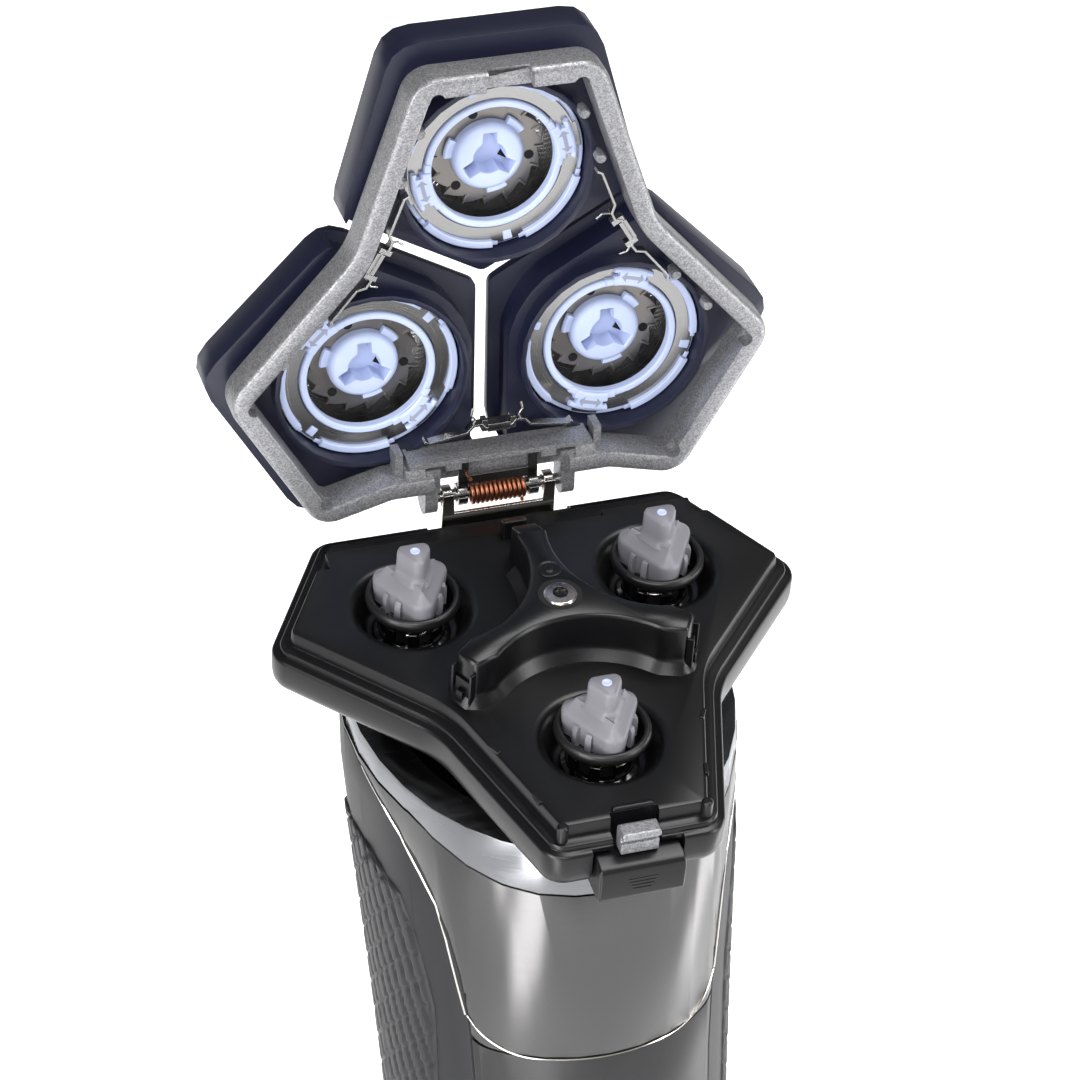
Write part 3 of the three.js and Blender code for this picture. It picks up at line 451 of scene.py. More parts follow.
def retainingRing(name, place):
    look = {"inner": 7.9, "outer": 8.85, "face": 7.75, "tabs": (166, 346), "tabOuter": 10.7, "tabFace": 7.35}
    bm = bmesh.new()
    wall(bm, circle(120), ringSection(look["inner"], look["outer"], look["face"], 9.2, 0.2), closed=True)
    for turn in look["tabs"]:
        arc(bm, ringSection(look["inner"] + 0.1, 9.4, look["tabFace"], 8.6, 0.25), turn - 15, turn + 15)
        arc(bm, ringSection(9.0, look["tabOuter"], look["tabFace"], 8.3, 0.25), turn - 11, turn + 11)
        arc(bm, ringSection(9.9, look["tabOuter"], look["tabFace"], 8.3, 0.25), turn - 15, turn + 15)
        arc(bm, ringSection(look["inner"] + 0.1, 9.0, 7.55, 8.6, 0.2), turn - 22, turn + 22)
    piece("retainingRing" + name, bm, place, "lock_" + name.lower(), "ice_blue_plastic",
          ["retaining_ring_" + name.lower()], bevel=0.1)
    bm = bmesh.new()
    for turn in look["tabs"]:  # a double arrow round the ring
        shape = [(-9.5, 0), (-5.5, -0.75), (-5.5, -0.25), (5.5, -0.25), (5.5, -0.75), (9.5, 0),
                 (5.5, 0.75), (5.5, 0.25), (-5.5, 0.25), (-5.5, 0.75)]
        rows = []
        for z in (look["tabFace"] - 0.03, look["tabFace"] + 0.2):
            rows.append([(r * math.cos(t), r * math.sin(t), z) for r, t in
                         ((9.35 + dr, math.radians(turn + dt)) for dt, dr in shape)])
        skin(bm, rows)
    piece("turnArrows" + name, bm, place, "lock_" + name.lower(), "arrow_grey", bevel=0)


def guardCap(name, place):  # pressed cap: a rim, fine radial bars over the blades, a plain middle
    look = {"radius": 9.2, "top": 16.3, "thick": 0.35, "bars": 90, "barIn": 5.3, "barOut": 8.5, "bar": 0.3}
    side, top, low = look["radius"], look["top"], look["top"] - look["thick"]
    bm = bmesh.new()
    wall(bm, circle(120), [
        (9.9, 9.45), (10.9, 9.45), (10.9, 9.7), (9.3, 9.75), (side, 10.0), (side, 15.8), (9.1, 16.1),
        (8.85, top), (look["barOut"] - 0.1, top), (look["barOut"] - 0.1, low), (8.8, low), (8.8, 9.7)],
        closed=True)
    wall(bm, circle(90), ringSection(6.8, 7.0, low - 0.15, low + 0.1, 0.04), closed=True)
    wall(bm, circle(90), [(look["barIn"] + 0.1, low), (look["barIn"] + 0.1, top), (4.9, top + 0.05),
                          (4.5, top - 0.15), (1.6, top - 0.15), (1.3, top)])
    for k in range(look["bars"]):
        block(bm, look["barIn"], look["barOut"], -look["bar"] / 2, look["bar"] / 2, low, top,
              360 * k / look["bars"])
    piece("shavingGuard" + name, bm, place, "pod_" + name.lower(), "spring_steel",
          ["shaving_guard_" + name.lower()], bevel=0.04)


def cutterDisc(name, place):
    look = {"teeth": 16, "tip": 7.45, "root": 6.35, "plate": 11.3, "thick": 0.35, "blade": 4.0}
    bm = bmesh.new()
    outline = []
    for k in range(look["teeth"]):
        t = math.tau * k / look["teeth"]
        step = math.tau / look["teeth"]
        for share, drop in ((0, 0), (0.06, 0), (0.16, 0.85), (0.6, 0.4)):
            a, r = t + share * step, look["tip"] - drop
            outline.append((r * math.cos(a), r * math.sin(a)))
    hole = [(4.5 * x / math.hypot(x, y), 4.5 * y / math.hypot(x, y)) for x, y in outline]
    low, high = look["plate"], look["plate"] + look["thick"]
    skin(bm, [[(x, y, z) for x, y in edge] for edge, z in
              ((hole, high), (hole, low), (outline, low), (outline, high))], closed=True)
    for k in range(look["teeth"]):
        turn = 360 * k / look["teeth"]
        block(bm, look["root"] - 0.1, look["tip"], -0.05, 0.25, look["plate"] - 0.25,
              look["plate"] + look["blade"], turn)
    piece("cutterBlades" + name, bm, place, "cutter_" + name.lower(), "cutter_steel",
          ["cutter_" + name.lower()], bevel=0.05)
    bm = bmesh.new()
    for turn in (30, 150, 270):  # painted shade: dark discs standing in for round holes through the plate
        x, y = 5.7 * math.cos(math.radians(turn - 18)), 5.7 * math.sin(math.radians(turn - 18))
        wall(bm, circle(20, x, y), [(0.62, 11.22), (0.62, 11.3)])
    piece("cutterHoles" + name, bm, place, "cutter_" + name.lower(), "deep_shadow", bevel=0)


# How far the three-armed recess reaches in that direction.
def starReach(angle):
    look = {"bore": 2.12, "arm": 3.45, "armHalf": 0.9}
    delta = (math.degrees(angle) - 270 + 60) % 120 - 60
    side = math.sin(math.radians(abs(delta))) or 1e-6
    arm = min(look["arm"] / math.cos(math.radians(delta)), look["armHalf"] / side) if abs(delta) < 60 else 0
    return max(look["bore"], arm)


def cutterHub(name, place):
    look = {"radius": 4.6, "face": 9.5, "back": 13.0, "floor": 12.3}
    bm = bmesh.new()
    turns = [math.tau * k / 144 for k in range(144)]
    profile = [(look["radius"], look["back"]), (look["radius"], 10.5), (4.5, 10.1), (4.2, 9.75),
               (3.75, look["face"])]
    rows = [[(r * math.cos(t), r * math.sin(t), z) for t in turns] for r, z in profile]
    for grow, z in ((0.12, look["face"]), (0, look["face"] + 0.12), (-0.1, look["floor"])):
        rows.append([((starReach(t) + grow) * math.cos(t), (starReach(t) + grow) * math.sin(t), z)
                     for t in turns])
    skin(bm, rows)
    for turn in (195, 315, 75):
        arc(bm, ringSection(4.3, 5.6, 10.6, 11.3, 0.2), turn - 14, turn + 14)
    piece("cutterHub" + name, bm, place, "cutter_" + name.lower(), "ice_blue_plastic",
          ["cutter_hub_" + name.lower()], bevel=0, angle=40)
    bm = bmesh.new()
    for turn in (270, 30, 150):  # painted shade: dark blocks standing in for slots in the floor of each arm
        block(bm, 2.1, 3.3, -0.75, 0.1, look["floor"] - 0.12, look["floor"] + 0.05, turn)
    piece("hubSlots" + name, bm, place, "cutter_" + name.lower(), "deep_shadow", bevel=0)


for unit, turn in units.items():
    title = unit.capitalize()
    at = unitPlace(coverPlace, turn)
    ringSeat(title, at)
    guardCap(title, at)
    retainingRing(title, at)
    cutterDisc(title, at)
    cutterHub(title, at)
print("shaving units made")


# Corners of the three-lobed outline that the tray and the cover share.
def lobes(endHalf, endReach, cornerRound, waistReach, waistRound):
    corners = []
    for turn in units.values():
        for x, y, r, more in ((-endHalf, -endReach, cornerRound, 0), (endHalf, -endReach, cornerRound, 0),
                              (0, -waistReach, waistRound, 60)):
            p = turned(x, y, turn + more)
            corners.append([p.x, p.y, r])
    return corners


# Points of (y, z) round the hinge line, from one angle to another in degrees.
def aroundPin(radius, start, end, step):
    turns = [math.radians(a) for a in range(start, end, step)]
    return [(hingeLine.y + radius * math.cos(t), hingeLine.z + radius * math.sin(t)) for t in turns]


def coverFrame():
    look = {"low": 1.4, "high": 6.2, "band": 2.6, "holes": 9.0, "holeReach": 31.8}
    outline = []
    for x, y, r in lobes(11.72, 34.59, 3.8, 22.6, 10):
        outline += [[14.5, 24.9, 3], [-14.5, 24.9, 3]] if abs(x) < 1 and y > 0 else [[x, y, r]]
    low, high, band = look["low"], look["high"], look["band"]
    bm = bmesh.new()
    wall(bm, track(outline, 10), [
        (-0.5, high), (-0.1, high - 0.3), (0, high - 0.8), (0, low + 0.9), (-0.12, low + 0.35),
        (-0.45, low + 0.06), (-0.9, low), (-band + 0.35, low), (-band + 0.08, low + 0.12),
        (-band, low + 0.5), (-band - 0.05, high - 0.5), (-band, high)], closed=True)
    cutter = bmesh.new()
    for turn in units.values():
        for x in (-look["holes"], look["holes"]):
            p = turned(x, -look["holeReach"], turn)
            wall(cutter, circle(20, p.x, p.y), [(0.95, 0), (0.95, 3.6)])
    block(cutter, -3, 3, -34.25, -30.9, 0, 2.9)  # recess for the latch hook
    block(cutter, -2.7, 2.7, -36, -34, 1.55, 2.9)  # window for the latch's nose
    block(cutter, -9.0, 9.0, 20, 30, 0, 5)  # room for the spring and the plate's ears
    bm = carve(bm, cutter)
    for side in (-1, 1):  # lugs that hold the pin's ends
        across(bm, aroundPin(1.9, -90, 91, 15) + [(24.0, 6.08), (24.0, 2.28)], side * 8.3, side * 10)
        block(bm, side * 9.1 - 1.1, side * 9.1 + 1.1, 21.6, 25.2, 2.3, 6.1)
        across(bm, [(21.2, 5.9), (21.2, 2.4), (22.6, 1.9), (24.6, 2.2), (24.6, 5.9)], side * 10, side * 12.6)
        block(bm, side * 6.3 - 1.0, side * 6.3 + 1.0, 20.6, 21.8, 2.0, 5.9)
        block(bm, side * 13.2 - 0.5, side * 13.2 + 0.5, 19.2, 23.4, 3.3, 6)
    block(bm, -12.1, 12.1, 20.3, 21.0, 2.1, 6.1)
    block(bm, -8.6, 8.6, 20.8, 25.0, 5.1, 6.1)
    block(bm, -5.6, 5.6, 21.0, 21.5, 3.6, 5.3)
    for turn in units.values():  # small clip ribs along the inner wall
        for x, y in ((-10.4, -26), (10.4, -26), (-12.7, -19.5), (12.7, -19.5)):
            p = turned(x, y, turn)
            if p.y < 18:
                wall(bm, circle(12, p.x, p.y), [(0.55, 4.1), (0.7, 4.3), (0.7, 6.0)])
    piece("coverFrameCasting", bm, coverPlace, "cover", "cast_silver", ["cover_frame"], bevel=0.14,
          angle=38)
    bm = bmesh.new()
    block(bm, -2.8, 2.8, -34.0, -32.9, 2.75, 2.95)  # rubbed pad at the bottom of the latch recess
    piece("coverFramePad", bm, coverPlace, "cover", "cast_silver", bevel=0.12)


def leafSpring(name, turn, shift):
    look = {"reach": 18.75, "low": 3.3, "high": 4.6, "thick": 0.35}
    place = coverPlace @ Matrix.Rotation(math.radians(turn), 4, "Z") @ Matrix.Translation((0, shift, 0))
    half = [(0, look["reach"]), (1.7, look["reach"]), (2.3, look["reach"] - 0.7), (3.4, look["reach"] - 0.6),
            (4.2, look["reach"] + 0.3), (9.2, look["reach"] + 1.1), (9.8, look["reach"] + 0.7)]
    path = [(-x, y) for x, y in reversed(half[1:])] + half
    bm = bmesh.new()
    strip(bm, path, look["thick"], look["low"], look["high"])
    block(bm, -1.5, 1.5, look["reach"] - 0.6, look["reach"] + 0.5, look["low"], 5.0)
    for side in (-1, 1):
        block(bm, side * 1.9 - 0.35, side * 1.9 + 0.35, look["reach"] - 1.3, look["reach"] + 0.4, 3.4, 4.6)
        wire(bm, [(side * 2.6, look["reach"] - 0.4, 4.4), (side * 3.4, look["reach"] - 1.6, 4.5),
                  (side * 3.2, look["reach"] - 2.6, 4.6)], 0.16)
    piece("leafSpring" + name, bm, place, "cover", "spring_steel", ["leaf_spring_" + name.lower()],
          bevel=0.08)


def hingeParts():
    look = {"turns": 12, "half": 3.7, "coil": 1.45, "wire": 0.26, "pin": 0.75, "reach": 9}
    y0, z0 = hingeLine.y, hingeLine.z
    bm = bmesh.new()
    points = []
    steps = look["turns"] * 20
    for k in range(steps + 1):
        t = math.tau * look["turns"] * k / steps
        points.append((-look["half"] + 2 * look["half"] * k / steps,
                       y0 + look["coil"] * math.cos(t), z0 + look["coil"] * math.sin(t)))
    points = ([(-3.9, y0 - 1.2, z0 + 3.2), (-3.85, y0 + 1.2, z0 + 2.0)] + points
              + [(3.75, y0 + 1.5, z0 - 1.0), (3.9, y0 + 0.7, z0 - 3.4)])
    wire(bm, points, look["wire"])
    piece("torsionSpringWire", bm, headPlace, "head_base", "copper_wire", ["torsion_spring"], bevel=0,
          angle=60)
    bm = bmesh.new()
    skin(bm, [[(x, y0 + r * math.cos(a), z0 + r * math.sin(a)) for a in
               (math.tau * k / 24 for k in range(24))]
              for x, r in ((-look["reach"], 0.6), (-look["reach"] + 0.15, look["pin"]),
                           (look["reach"] - 0.15, look["pin"]), (look["reach"], 0.6))])
    piece("hingePinRod", bm, headPlace, "head_base", "spring_steel", ["hinge_pin"], bevel=0)
    bm = bmesh.new()  # standing plate with two ears and hooked feet
    foot = -1.8
    shape = [(-8.3, foot + 0.1), (-8.3, foot + 0.9), (-7.6, foot + 0.9), (-7.5, z0 + 1.2), (-6.1, z0 + 1.2),
             (-5.9, z0 - 1.9), (5.9, z0 - 1.9), (6.1, z0 + 1.2), (7.5, z0 + 1.2), (7.6, foot + 0.9),
             (8.3, foot + 0.9), (8.3, foot + 0.1), (7.2, foot), (6.4, foot + 0.7), (4.4, foot + 0.7),
             (3.9, foot), (-3.9, foot), (-4.4, foot + 0.7), (-6.4, foot + 0.7), (-7.2, foot)]
    skin(bm, [[(x, y, z) for x, z in shape] for y in (y0 - 1.55, y0 - 1.05)])
    for side in (-1, 1):  # the ears curl round the pin
        across(bm, aroundPin(1.45, 200, -121, -20) + aroundPin(0.9, -120, 201, 20), side * 6.15, side * 7.45)
    piece("hingePlate", bm, headPlace, "head_base", "bright_steel", ["hinge_bracket"], bevel=0.1)
    bm = bmesh.new()  # cover side: a U of strip with two curled knuckles
    for side in (-1, 1):
        across(bm, aroundPin(1.5, 240, -101, -20) + aroundPin(0.92, -100, 241, 20), side * 4.1, side * 5.4)
        block(bm, side * 4.6 - 0.7, side * 4.6 + 0.7, 21.3, y0 - 0.9, z0 - 0.75, z0 - 0.2)
        block(bm, side * 5.2 - 1.1, side * 5.2 + 1.1, 21.3, 22.2, z0 - 0.75, z0 - 0.2)
    block(bm, -5.3, 5.3, 24.0, 25.4, z0 - 0.75, z0 - 0.2)
    piece("hingeStrap", bm, coverPlace, "cover", "spring_steel", ["cover_hinge_bracket"], bevel=0.1)


coverFrame()
leafSpring("Right", 240, 0)
leafSpring("Left", 120, 0)
leafSpring("Back", 0, -1.6)
hingeParts()
print("cover and hinge made")


# The raised Y wall seen from above, with arcs round each spindle.
def webOutline():
    look = {"arc": 14.4, "halfTurn": 47, "half": 1.75, "reach": 16.6}
    points = []
    for turn in units.values():  # arc facing one spindle, then the arm that follows
        spin = Matrix.Rotation(math.radians(turn), 2)
        for k in range(25):
            a = math.radians(90 + look["halfTurn"] * (1 - 2 * k / 24))
            p = Vector((look["arc"] * math.cos(a), -layout["circle"] + look["arc"] * math.sin(a)))
            points.append(spin @ p)
        arm = Matrix.Rotation(math.radians(turn + 60), 2)
        for x, y in ((-look["half"], look["reach"] - 0.5), (-look["half"] + 0.5, look["reach"]),
                     (look["half"] - 0.5, look["reach"]), (look["half"], look["reach"] - 0.5)):
            points.append(arm @ Vector((x, -y)))
    return points


def headTray():
    look = {"under": -5, "floor": 3, "moatFloor": -1.2, "wallTop": 9.8, "rampStart": 12}
    corners = [c for c in lobes(10.86, 34.14, 3.5, 21.1, 12) if not (abs(c[0]) < 1 and c[1] > 0)]
    spots = track(corners, 10)
    bm = bmesh.new()
    rows = wall(bm, spots, [
        (-2.4, look["under"]), (-1.1, look["under"]), (-0.5, -4.7), (-0.15, -4.0), (0, -3.0), (0, -0.55),
        (-0.1, -0.2), (-0.35, 0), (-0.85, 0.02), (-0.98, 0.1), (-1.02, 0.6), (-1.15, 0.78), (-1.35, 0.82),
        (-2.1, 0.84), (-2.3, 1.0), (-2.42, 2.6), (-2.55, 2.9), (-2.85, look["floor"])], caps=False)
    bm.faces.new(list(reversed(rows[0])))
    edges = [bm.edges.get((rows[-1][i - 1], rows[-1][i])) for i in range(len(rows[-1]))]
    for turn in units.values():
        p = turned(0, -layout["circle"], turn)
        made = wall(bm, circle(64, p.x, p.y), [
            (8.4, look["floor"]), (8.0, 2.95), (7.6, 2.78), (7.2, 2.4), (6.8, 1.7), (6.4, 0.6), (6.1, -0.4),
            (5.8, -0.95), (5.4, look["moatFloor"]), (3.2, look["moatFloor"])], caps=False)
        bm.faces.new(made[-1])
        edges += [bm.edges.get((made[0][i - 1], made[0][i])) for i in range(64)]
    bmesh.ops.triangle_fill(bm, use_beauty=True, use_dissolve=False, edges=edges)
    cutter = bmesh.new()
    block(cutter, -3, 3, -40, -30.8, -10, 20)  # slot for the latch hook
    block(cutter, -5.7, 5.7, -40, -30.9, -10, -0.6)  # room for the release button
    block(cutter, -5.7, 5.7, -40, -33.4, -10, 20)
    block(cutter, -9.6, 9.6, 24.9, 40, -2.4, 12)  # seat of the hinge plate
    block(cutter, -12.4, 12.4, 20.1, 40, 1.1, 12)  # room for the cover's hinge bay
    block(cutter, -25, 25, 21.1, 40, 1.1, 12)  # room for the cover's back edge when it closes
    for side in (-1, 1):
        block(cutter, side * 25.6 - 1.4, side * 25.6 + 1.4, 18.2, 40, 1.1, 12)
    bm = carve(bm, cutter)
    piece("headTrayShell", bm, headPlace, "head_base", "satin_black", ["head_tray"], bevel=0.12, angle=40)

    points = webOutline()
    count = len(points)
    outs = []
    for i in range(count):
        ahead = (points[(i + 1) % count] - points[i - 1]).normalized()
        outs.append((points[i], Vector((ahead.y, -ahead.x))))
    bm = bmesh.new()
    wall(bm, outs, [(1.3, 2.9), (0.25, 4.2), (0.05, 4.5), (0, 5), (0, 9.2), (-0.12, 9.6),
                    (-0.4, look["wallTop"])])
    bmesh.ops.bisect_plane(bm, geom=bm.verts[:] + bm.edges[:] + bm.faces[:], dist=0.001,
                           plane_co=(0, look["rampStart"], 0), plane_no=(0, 1, 0), clear_outer=True)
    bmesh.ops.holes_fill(bm, edges=bm.edges)
    piece("trayWebWall", bm, headPlace, "head_base", "satin_black", bevel=0.05, angle=50)

    bm = bmesh.new()  # the back leg slopes down to the hinge
    across(bm, [(6, 9.78), (12.5, 9.6), (15.6, 7.8), (15.6, 2.8), (6, 2.8)], -1.6, 1.6)
    across(bm, [(18.5, 5.9), (20.0, 5.2), (20.0, 2.8), (18.5, 2.8)], -1.6, 1.6)
    block(bm, -2.6, 2.6, -31.0, -30.2, 2.9, 3.6)  # lip behind the latch slot
    piece("trayBackLeg", bm, headPlace, "head_base", "satin_black", bevel=0.3)

    bm = bmesh.new()  # posts, snap tabs and the moulded boss
    for side in (-1, 1):
        wall(bm, circle(20, side * 9.0, -31.8), [(0.75, 0.7), (0.72, 3.0), (0.5, 3.2)])
        for x, y, turn in ((13.2, -17.6, 30), (10.55, -26.6, 10)):
            p = (Matrix.Translation((side * x, y, 2.9))
                 @ Matrix.Rotation(math.radians(-side * turn), 4, "Z") @ Matrix.Diagonal((0.5, 1.7, 0.7, 1)))
            bmesh.ops.create_cube(bm, size=1, matrix=p)
    wall(bm, circle(32, 0, 4.7), [(1.5, 9.7), (1.5, 9.95), (1.3, 10.0), (1.2, 9.85), (0.6, 9.85),
                                  (0.5, 10.0)])
    for turn in (60, 300):  # clip pockets at the arm ends
        p = Matrix.Rotation(math.radians(turn), 4, "Z")
        for x, y, w, d, low, high in ((0, -16.8, 2.4, 0.4, 3, 6.5), (-1.5, -16.9, 0.35, 0.9, 3, 8.2),
                                      (1.5, -16.9, 0.35, 0.9, 3, 8.2), (0, -17.3, 1.0, 0.6, 3, 5.0)):
            box = (p @ Matrix.Translation((x, y, (low + high) / 2))
                   @ Matrix.Diagonal((w, d, high - low, 1)))
            bmesh.ops.create_cube(bm, size=1, matrix=box)
    piece("traySmallFittings", bm, headPlace, "head_base", "satin_black", bevel=0.1)

    bm = bmesh.new()
    wall(bm, circle(40), [(2.1, 9.4), (2.1, 9.9), (1.9, 10.08), (0.95, 10.12)], caps=False)
    rows = []
    for grow, z in ((0, 10.12), (-0.12, 9.5)):  # six-pointed drive
        reaches = [(0.95 if k % 2 else 0.62) * (1 + grow) for k in range(12)]
        rows.append([(r * math.cos(math.tau * k / 12), r * math.sin(math.tau * k / 12), z)
                     for k, r in enumerate(reaches)])
    skin(bm, rows, caps=False)
    wall(bm, circle(12), [(0.95, 9.5), (0.02, 9.5)], caps=False)
    piece("centreScrewHead", bm, headPlace, "head_base", "bright_steel", ["center_screw"], bevel=0.04)
    # painted shade: a dark ring standing in for the shaded counterbore round the screw
    bm = bmesh.new()
    wall(bm, circle(40), [(2.75, 9.7), (2.75, 9.84), (2.1, 9.84), (2.1, 9.7)], closed=True)
    piece("screwRecess", bm, headPlace, "head_base", "deep_shadow", bevel=0)


# A rounded triangle's corners, one of them outward.
def triangle(reach, rounding):
    return [[reach * math.cos(math.radians(a)), reach * math.sin(math.radians(a)), rounding]
            for a in (270, 30, 150)]


def driveSpindle(unit, place):
    look = {"body": 6.9, "bodyRound": 1.7, "coil": 2.8, "coilTurns": 4, "coilLow": 0.4, "coilHigh": 3.4,
            "wire": 0.22}
    name = unit.capitalize()
    bm = bmesh.new()
    wall(bm, track(triangle(look["body"], look["bodyRound"]), 10), [
        (-0.5, 3.4), (-0.2, 3.6), (-0.05, 5.6), (0, 6.6), (-0.1, 7.0), (-0.35, 7.25), (-0.9, 7.6),
        (-1.45, 8.3), (-1.7, 8.7)])
    wall(bm, track(triangle(3.3, 1.0), 8), [(0.75, 8.2), (0.25, 8.6), (0.02, 9.2), (0, 9.6), (-0.05, 11.5),
                                            (-0.17, 11.9), (-0.4, 12.07)])
    for turn in (90, 210, 330):  # ribs on the three flats
        for lift in (-16, 16):
            arc(bm, [(3.3, 3.6), (4.15, 3.6), (4.15, 6.0), (3.9, 6.6), (3.3, 6.6)],
                turn + lift - 6, turn + lift + 6)
    piece("spindleCap" + name, bm, place, "cap_" + unit, "grey_plastic", ["spindle_cap_" + unit],
          bevel=0.07, angle=45)
    bm = bmesh.new()
    wall(bm, circle(24), [(0.62, 12.0), (0.62, 12.14), (0.46, 12.18), (0.3, 12.1)])
    piece("spindleDot" + name, bm, place, "cap_" + unit, "ice_blue_plastic", bevel=0)
    bm = bmesh.new()  # the seal: an eight-sided open ring with a turned-up lip
    spots = track([[math.cos(math.radians(a)) * 0.6, math.sin(math.radians(a)) * 0.6, 0.3]
                   for a in range(22, 382, 45)], 4)
    wall(bm, spots, [(4.45, 4.4), (4.5, 3.9), (4.9, 3.65), (5.2, 3.8), (5.4, 4.3), (5.35, 4.9), (5.1, 5.25),
                     (4.75, 5.3), (4.5, 5.0)], closed=True)
    piece("spindleSeal" + name, bm, place, "cap_" + unit, "black_rubber", ["spindle_collar_" + unit],
          bevel=0, angle=70)
    bm = bmesh.new()  # crenellated cage on the gear
    wall(bm, circle(48), ringSection(3.3, 4.2, -3.2, -0.4), closed=True)
    for k in range(8):
        arc(bm, ringSection(3.6, 4.3, -0.6, 1.8, 0.1), 45 * k + 8, 45 * k + 27)
    wall(bm, circle(48), [(4.2, -1.15), (5.0, -1.15), (4.8, -0.8), (4.2, -0.6)], closed=True)
    piece("spindleSleeve" + name, bm, place, "spindle_" + unit, "gloss_black",
          ["spindle_gear_" + unit], bevel=0.06)
    bm = bmesh.new()
    steps = look["coilTurns"] * 24
    wire(bm, [(look["coil"] * math.cos(math.tau * k / 24), look["coil"] * math.sin(math.tau * k / 24),
               look["coilLow"] + (look["coilHigh"] - look["coilLow"]) * k / steps)
              for k in range(steps + 1)], look["wire"])
    piece("spindleCoil" + name, bm, place, "cap_" + unit, "bright_steel", ["spindle_spring_" + unit],
          bevel=0, angle=60)


def latchParts():
    bm = bmesh.new()
    across(bm, [(-36.4, -6.0), (-35.9, -6.6), (-32.0, -6.6), (-32.0, -1.1), (-35.3, -1.1), (-36.1, -1.5),
                (-36.4, -2.3)], -5.4, 5.4)
    piece("releaseButtonBlock", bm, headPlace, "latch", "satin_black", ["release_button"], bevel=0.35,
          segments=3)
    bm = bmesh.new()
    for k in range(4):  # shallow grip lines under the front edge
        block(bm, -1.9 + 0.25 * k, 1.9 - 0.25 * k, -36.48, -36.2, -3.2 - 0.55 * k, -3.0 - 0.55 * k)
    piece("releaseButtonRibs", bm, headPlace, "latch", "satin_black", bevel=0.04)
    bm = bmesh.new()
    across(bm, [(-34.4, -0.8), (-32.2, -0.8), (-32.2, 2.2), (-32.6, 2.6), (-34.5, 2.6), (-34.9, 2.2),
                (-34.8, 1.8), (-33.9, 1.6), (-33.9, 0.9), (-34.4, 0.9)], -2.4, 2.4)
    piece("latchHookTab", bm, headPlace, "latch", "cast_silver", ["latch_hook"], bevel=0.22)


headTray()
for unit, turn in units.items():
    driveSpindle(unit, unitPlace(headPlace, turn))
latchParts()
print("head base made")


def clampTo(value, low=0.0, high=1.0):
    return max(low, min(high, value))


# Widest line, front reach, back reach and half-width of the handle's egg section at a height.
def skinHalf(z):
    look = {"front": 22.3, "frontTaper": 1.8, "taperTop": 30, "back": 19, "backSwell": 14, "shift": 9,
            "half": 21, "halfSwell": 4.2, "swellLow": 55, "swellHigh": 118}
    swell = clampTo((z - look["swellLow"]) / (look["swellHigh"] - look["swellLow"])) ** 1.2
    widest = look["shift"] * swell
    front = look["front"] - look["frontTaper"] * clampTo(1 - z / look["taperTop"]) ** 2 + widest
    back = look["back"] + look["backSwell"] * swell - widest
    return widest, front, back, look["half"] + look["halfSwell"] * clampTo(z / look["swellHigh"]) ** 2


# The point of the handle's skin at that depth and height, on the right (1) or left (-1).
def skinAt(side, y, z, lift=0.0):
    widest, front, back, half = skinHalf(z)
    share = clampTo((y - widest) / (back if y > widest else front), -1, 1)
    x = half * math.sqrt(max(0, 1 - share * share))
    n = Vector((x / half ** 2, (y - widest) / (back if y > widest else front) ** 2, 0)).normalized()
    return Vector((side * (x + n.x * lift), y + n.y * lift, z))


# Straight-line reading of a table of (z, value).
def along(table, z):
    for (z0, a), (z1, b) in zip(table, table[1:]):
        if z <= z1:
            return a + (b - a) * clampTo((z - z0) / (z1 - z0))
    return table[-1][1]


# Height, 0 to 1, of the slanted pads: a runs round the handle and b up it, in millimetres.
def padHeight(a, b):
    look = {"lean": (0.95, 0.42), "pitch": (4.6, 2.5), "spread": (3.3, 2.3), "flat": (0.95, 0.45),
            "round": 0.72, "slope": 0.42}
    p = (b + look["lean"][0] * a) / look["pitch"][0]
    q = (a - look["lean"][1] * b) / look["pitch"][1]
    u, v = (abs(s - math.floor(s) - 0.5) * wide for s, wide in zip((p, q), look["spread"]))
    edge = math.hypot(max(0, u - look["flat"][0]), max(0, v - look["flat"][1]))
    rise = clampTo((look["round"] - edge) / look["slope"])
    return rise * rise * (3 - 2 * rise)


# One grip's padded field, side 1 for right and -1 for left.
def gripPads(side, name):
    look = {"step": 0.36, "columns": 66, "lift": 0.32, "sink": 0.6, "low": 13, "high": 113.5}
    # the field's front and back edges, as (height, depth)
    front = [(13, -9.4), (40, -10.2), (70, -11.1), (88.6, -10.8), (94.8, -10.7), (100.3, -9.4),
             (105.7, -7.9), (109.6, -5.4), (111.7, -1.3), (113.2, 2.6), (113.5, 8.2)]
    back = [(13, 8.2), (60, 10.2), (84, 14.2), (100, 17.6), (108, 18.4), (111.5, 16.5), (113, 13),
            (113.5, 9.5)]
    rows = []
    count = int((look["high"] - look["low"]) / look["step"])
    columns = look["columns"]
    for i in range(count + 1):
        z = look["low"] + (look["high"] - look["low"]) * i / count
        y0, y1 = along(front, z), along(back, z)
        row, run, last = [], 0.0, None
        for k in range(columns + 1):
            y = y0 + (y1 - y0) * k / columns
            flat = skinAt(side, y, z)
            run += (flat - last).length if last else 0.0
            last = flat
            rim = min(k, columns - k, (count - i) * 1.2, i) / 2.5
            tall = padHeight(run + (y0 + 11) * 1.1, z) * clampTo(rim)
            sink = look["sink"] if rim == 0 else 0  # the rim dips under the grip's own face
            row.append(skinAt(side, y, z, 0.04 + look["lift"] * tall - sink))
        rows.append(row)
    bm = bmesh.new()
    skin(bm, rows if side > 0 else rows[::-1], loop=False, caps=False)
    piece("gripPads" + name, bm, upright, "handle", "grip_rubber", bevel=0, angle=80)


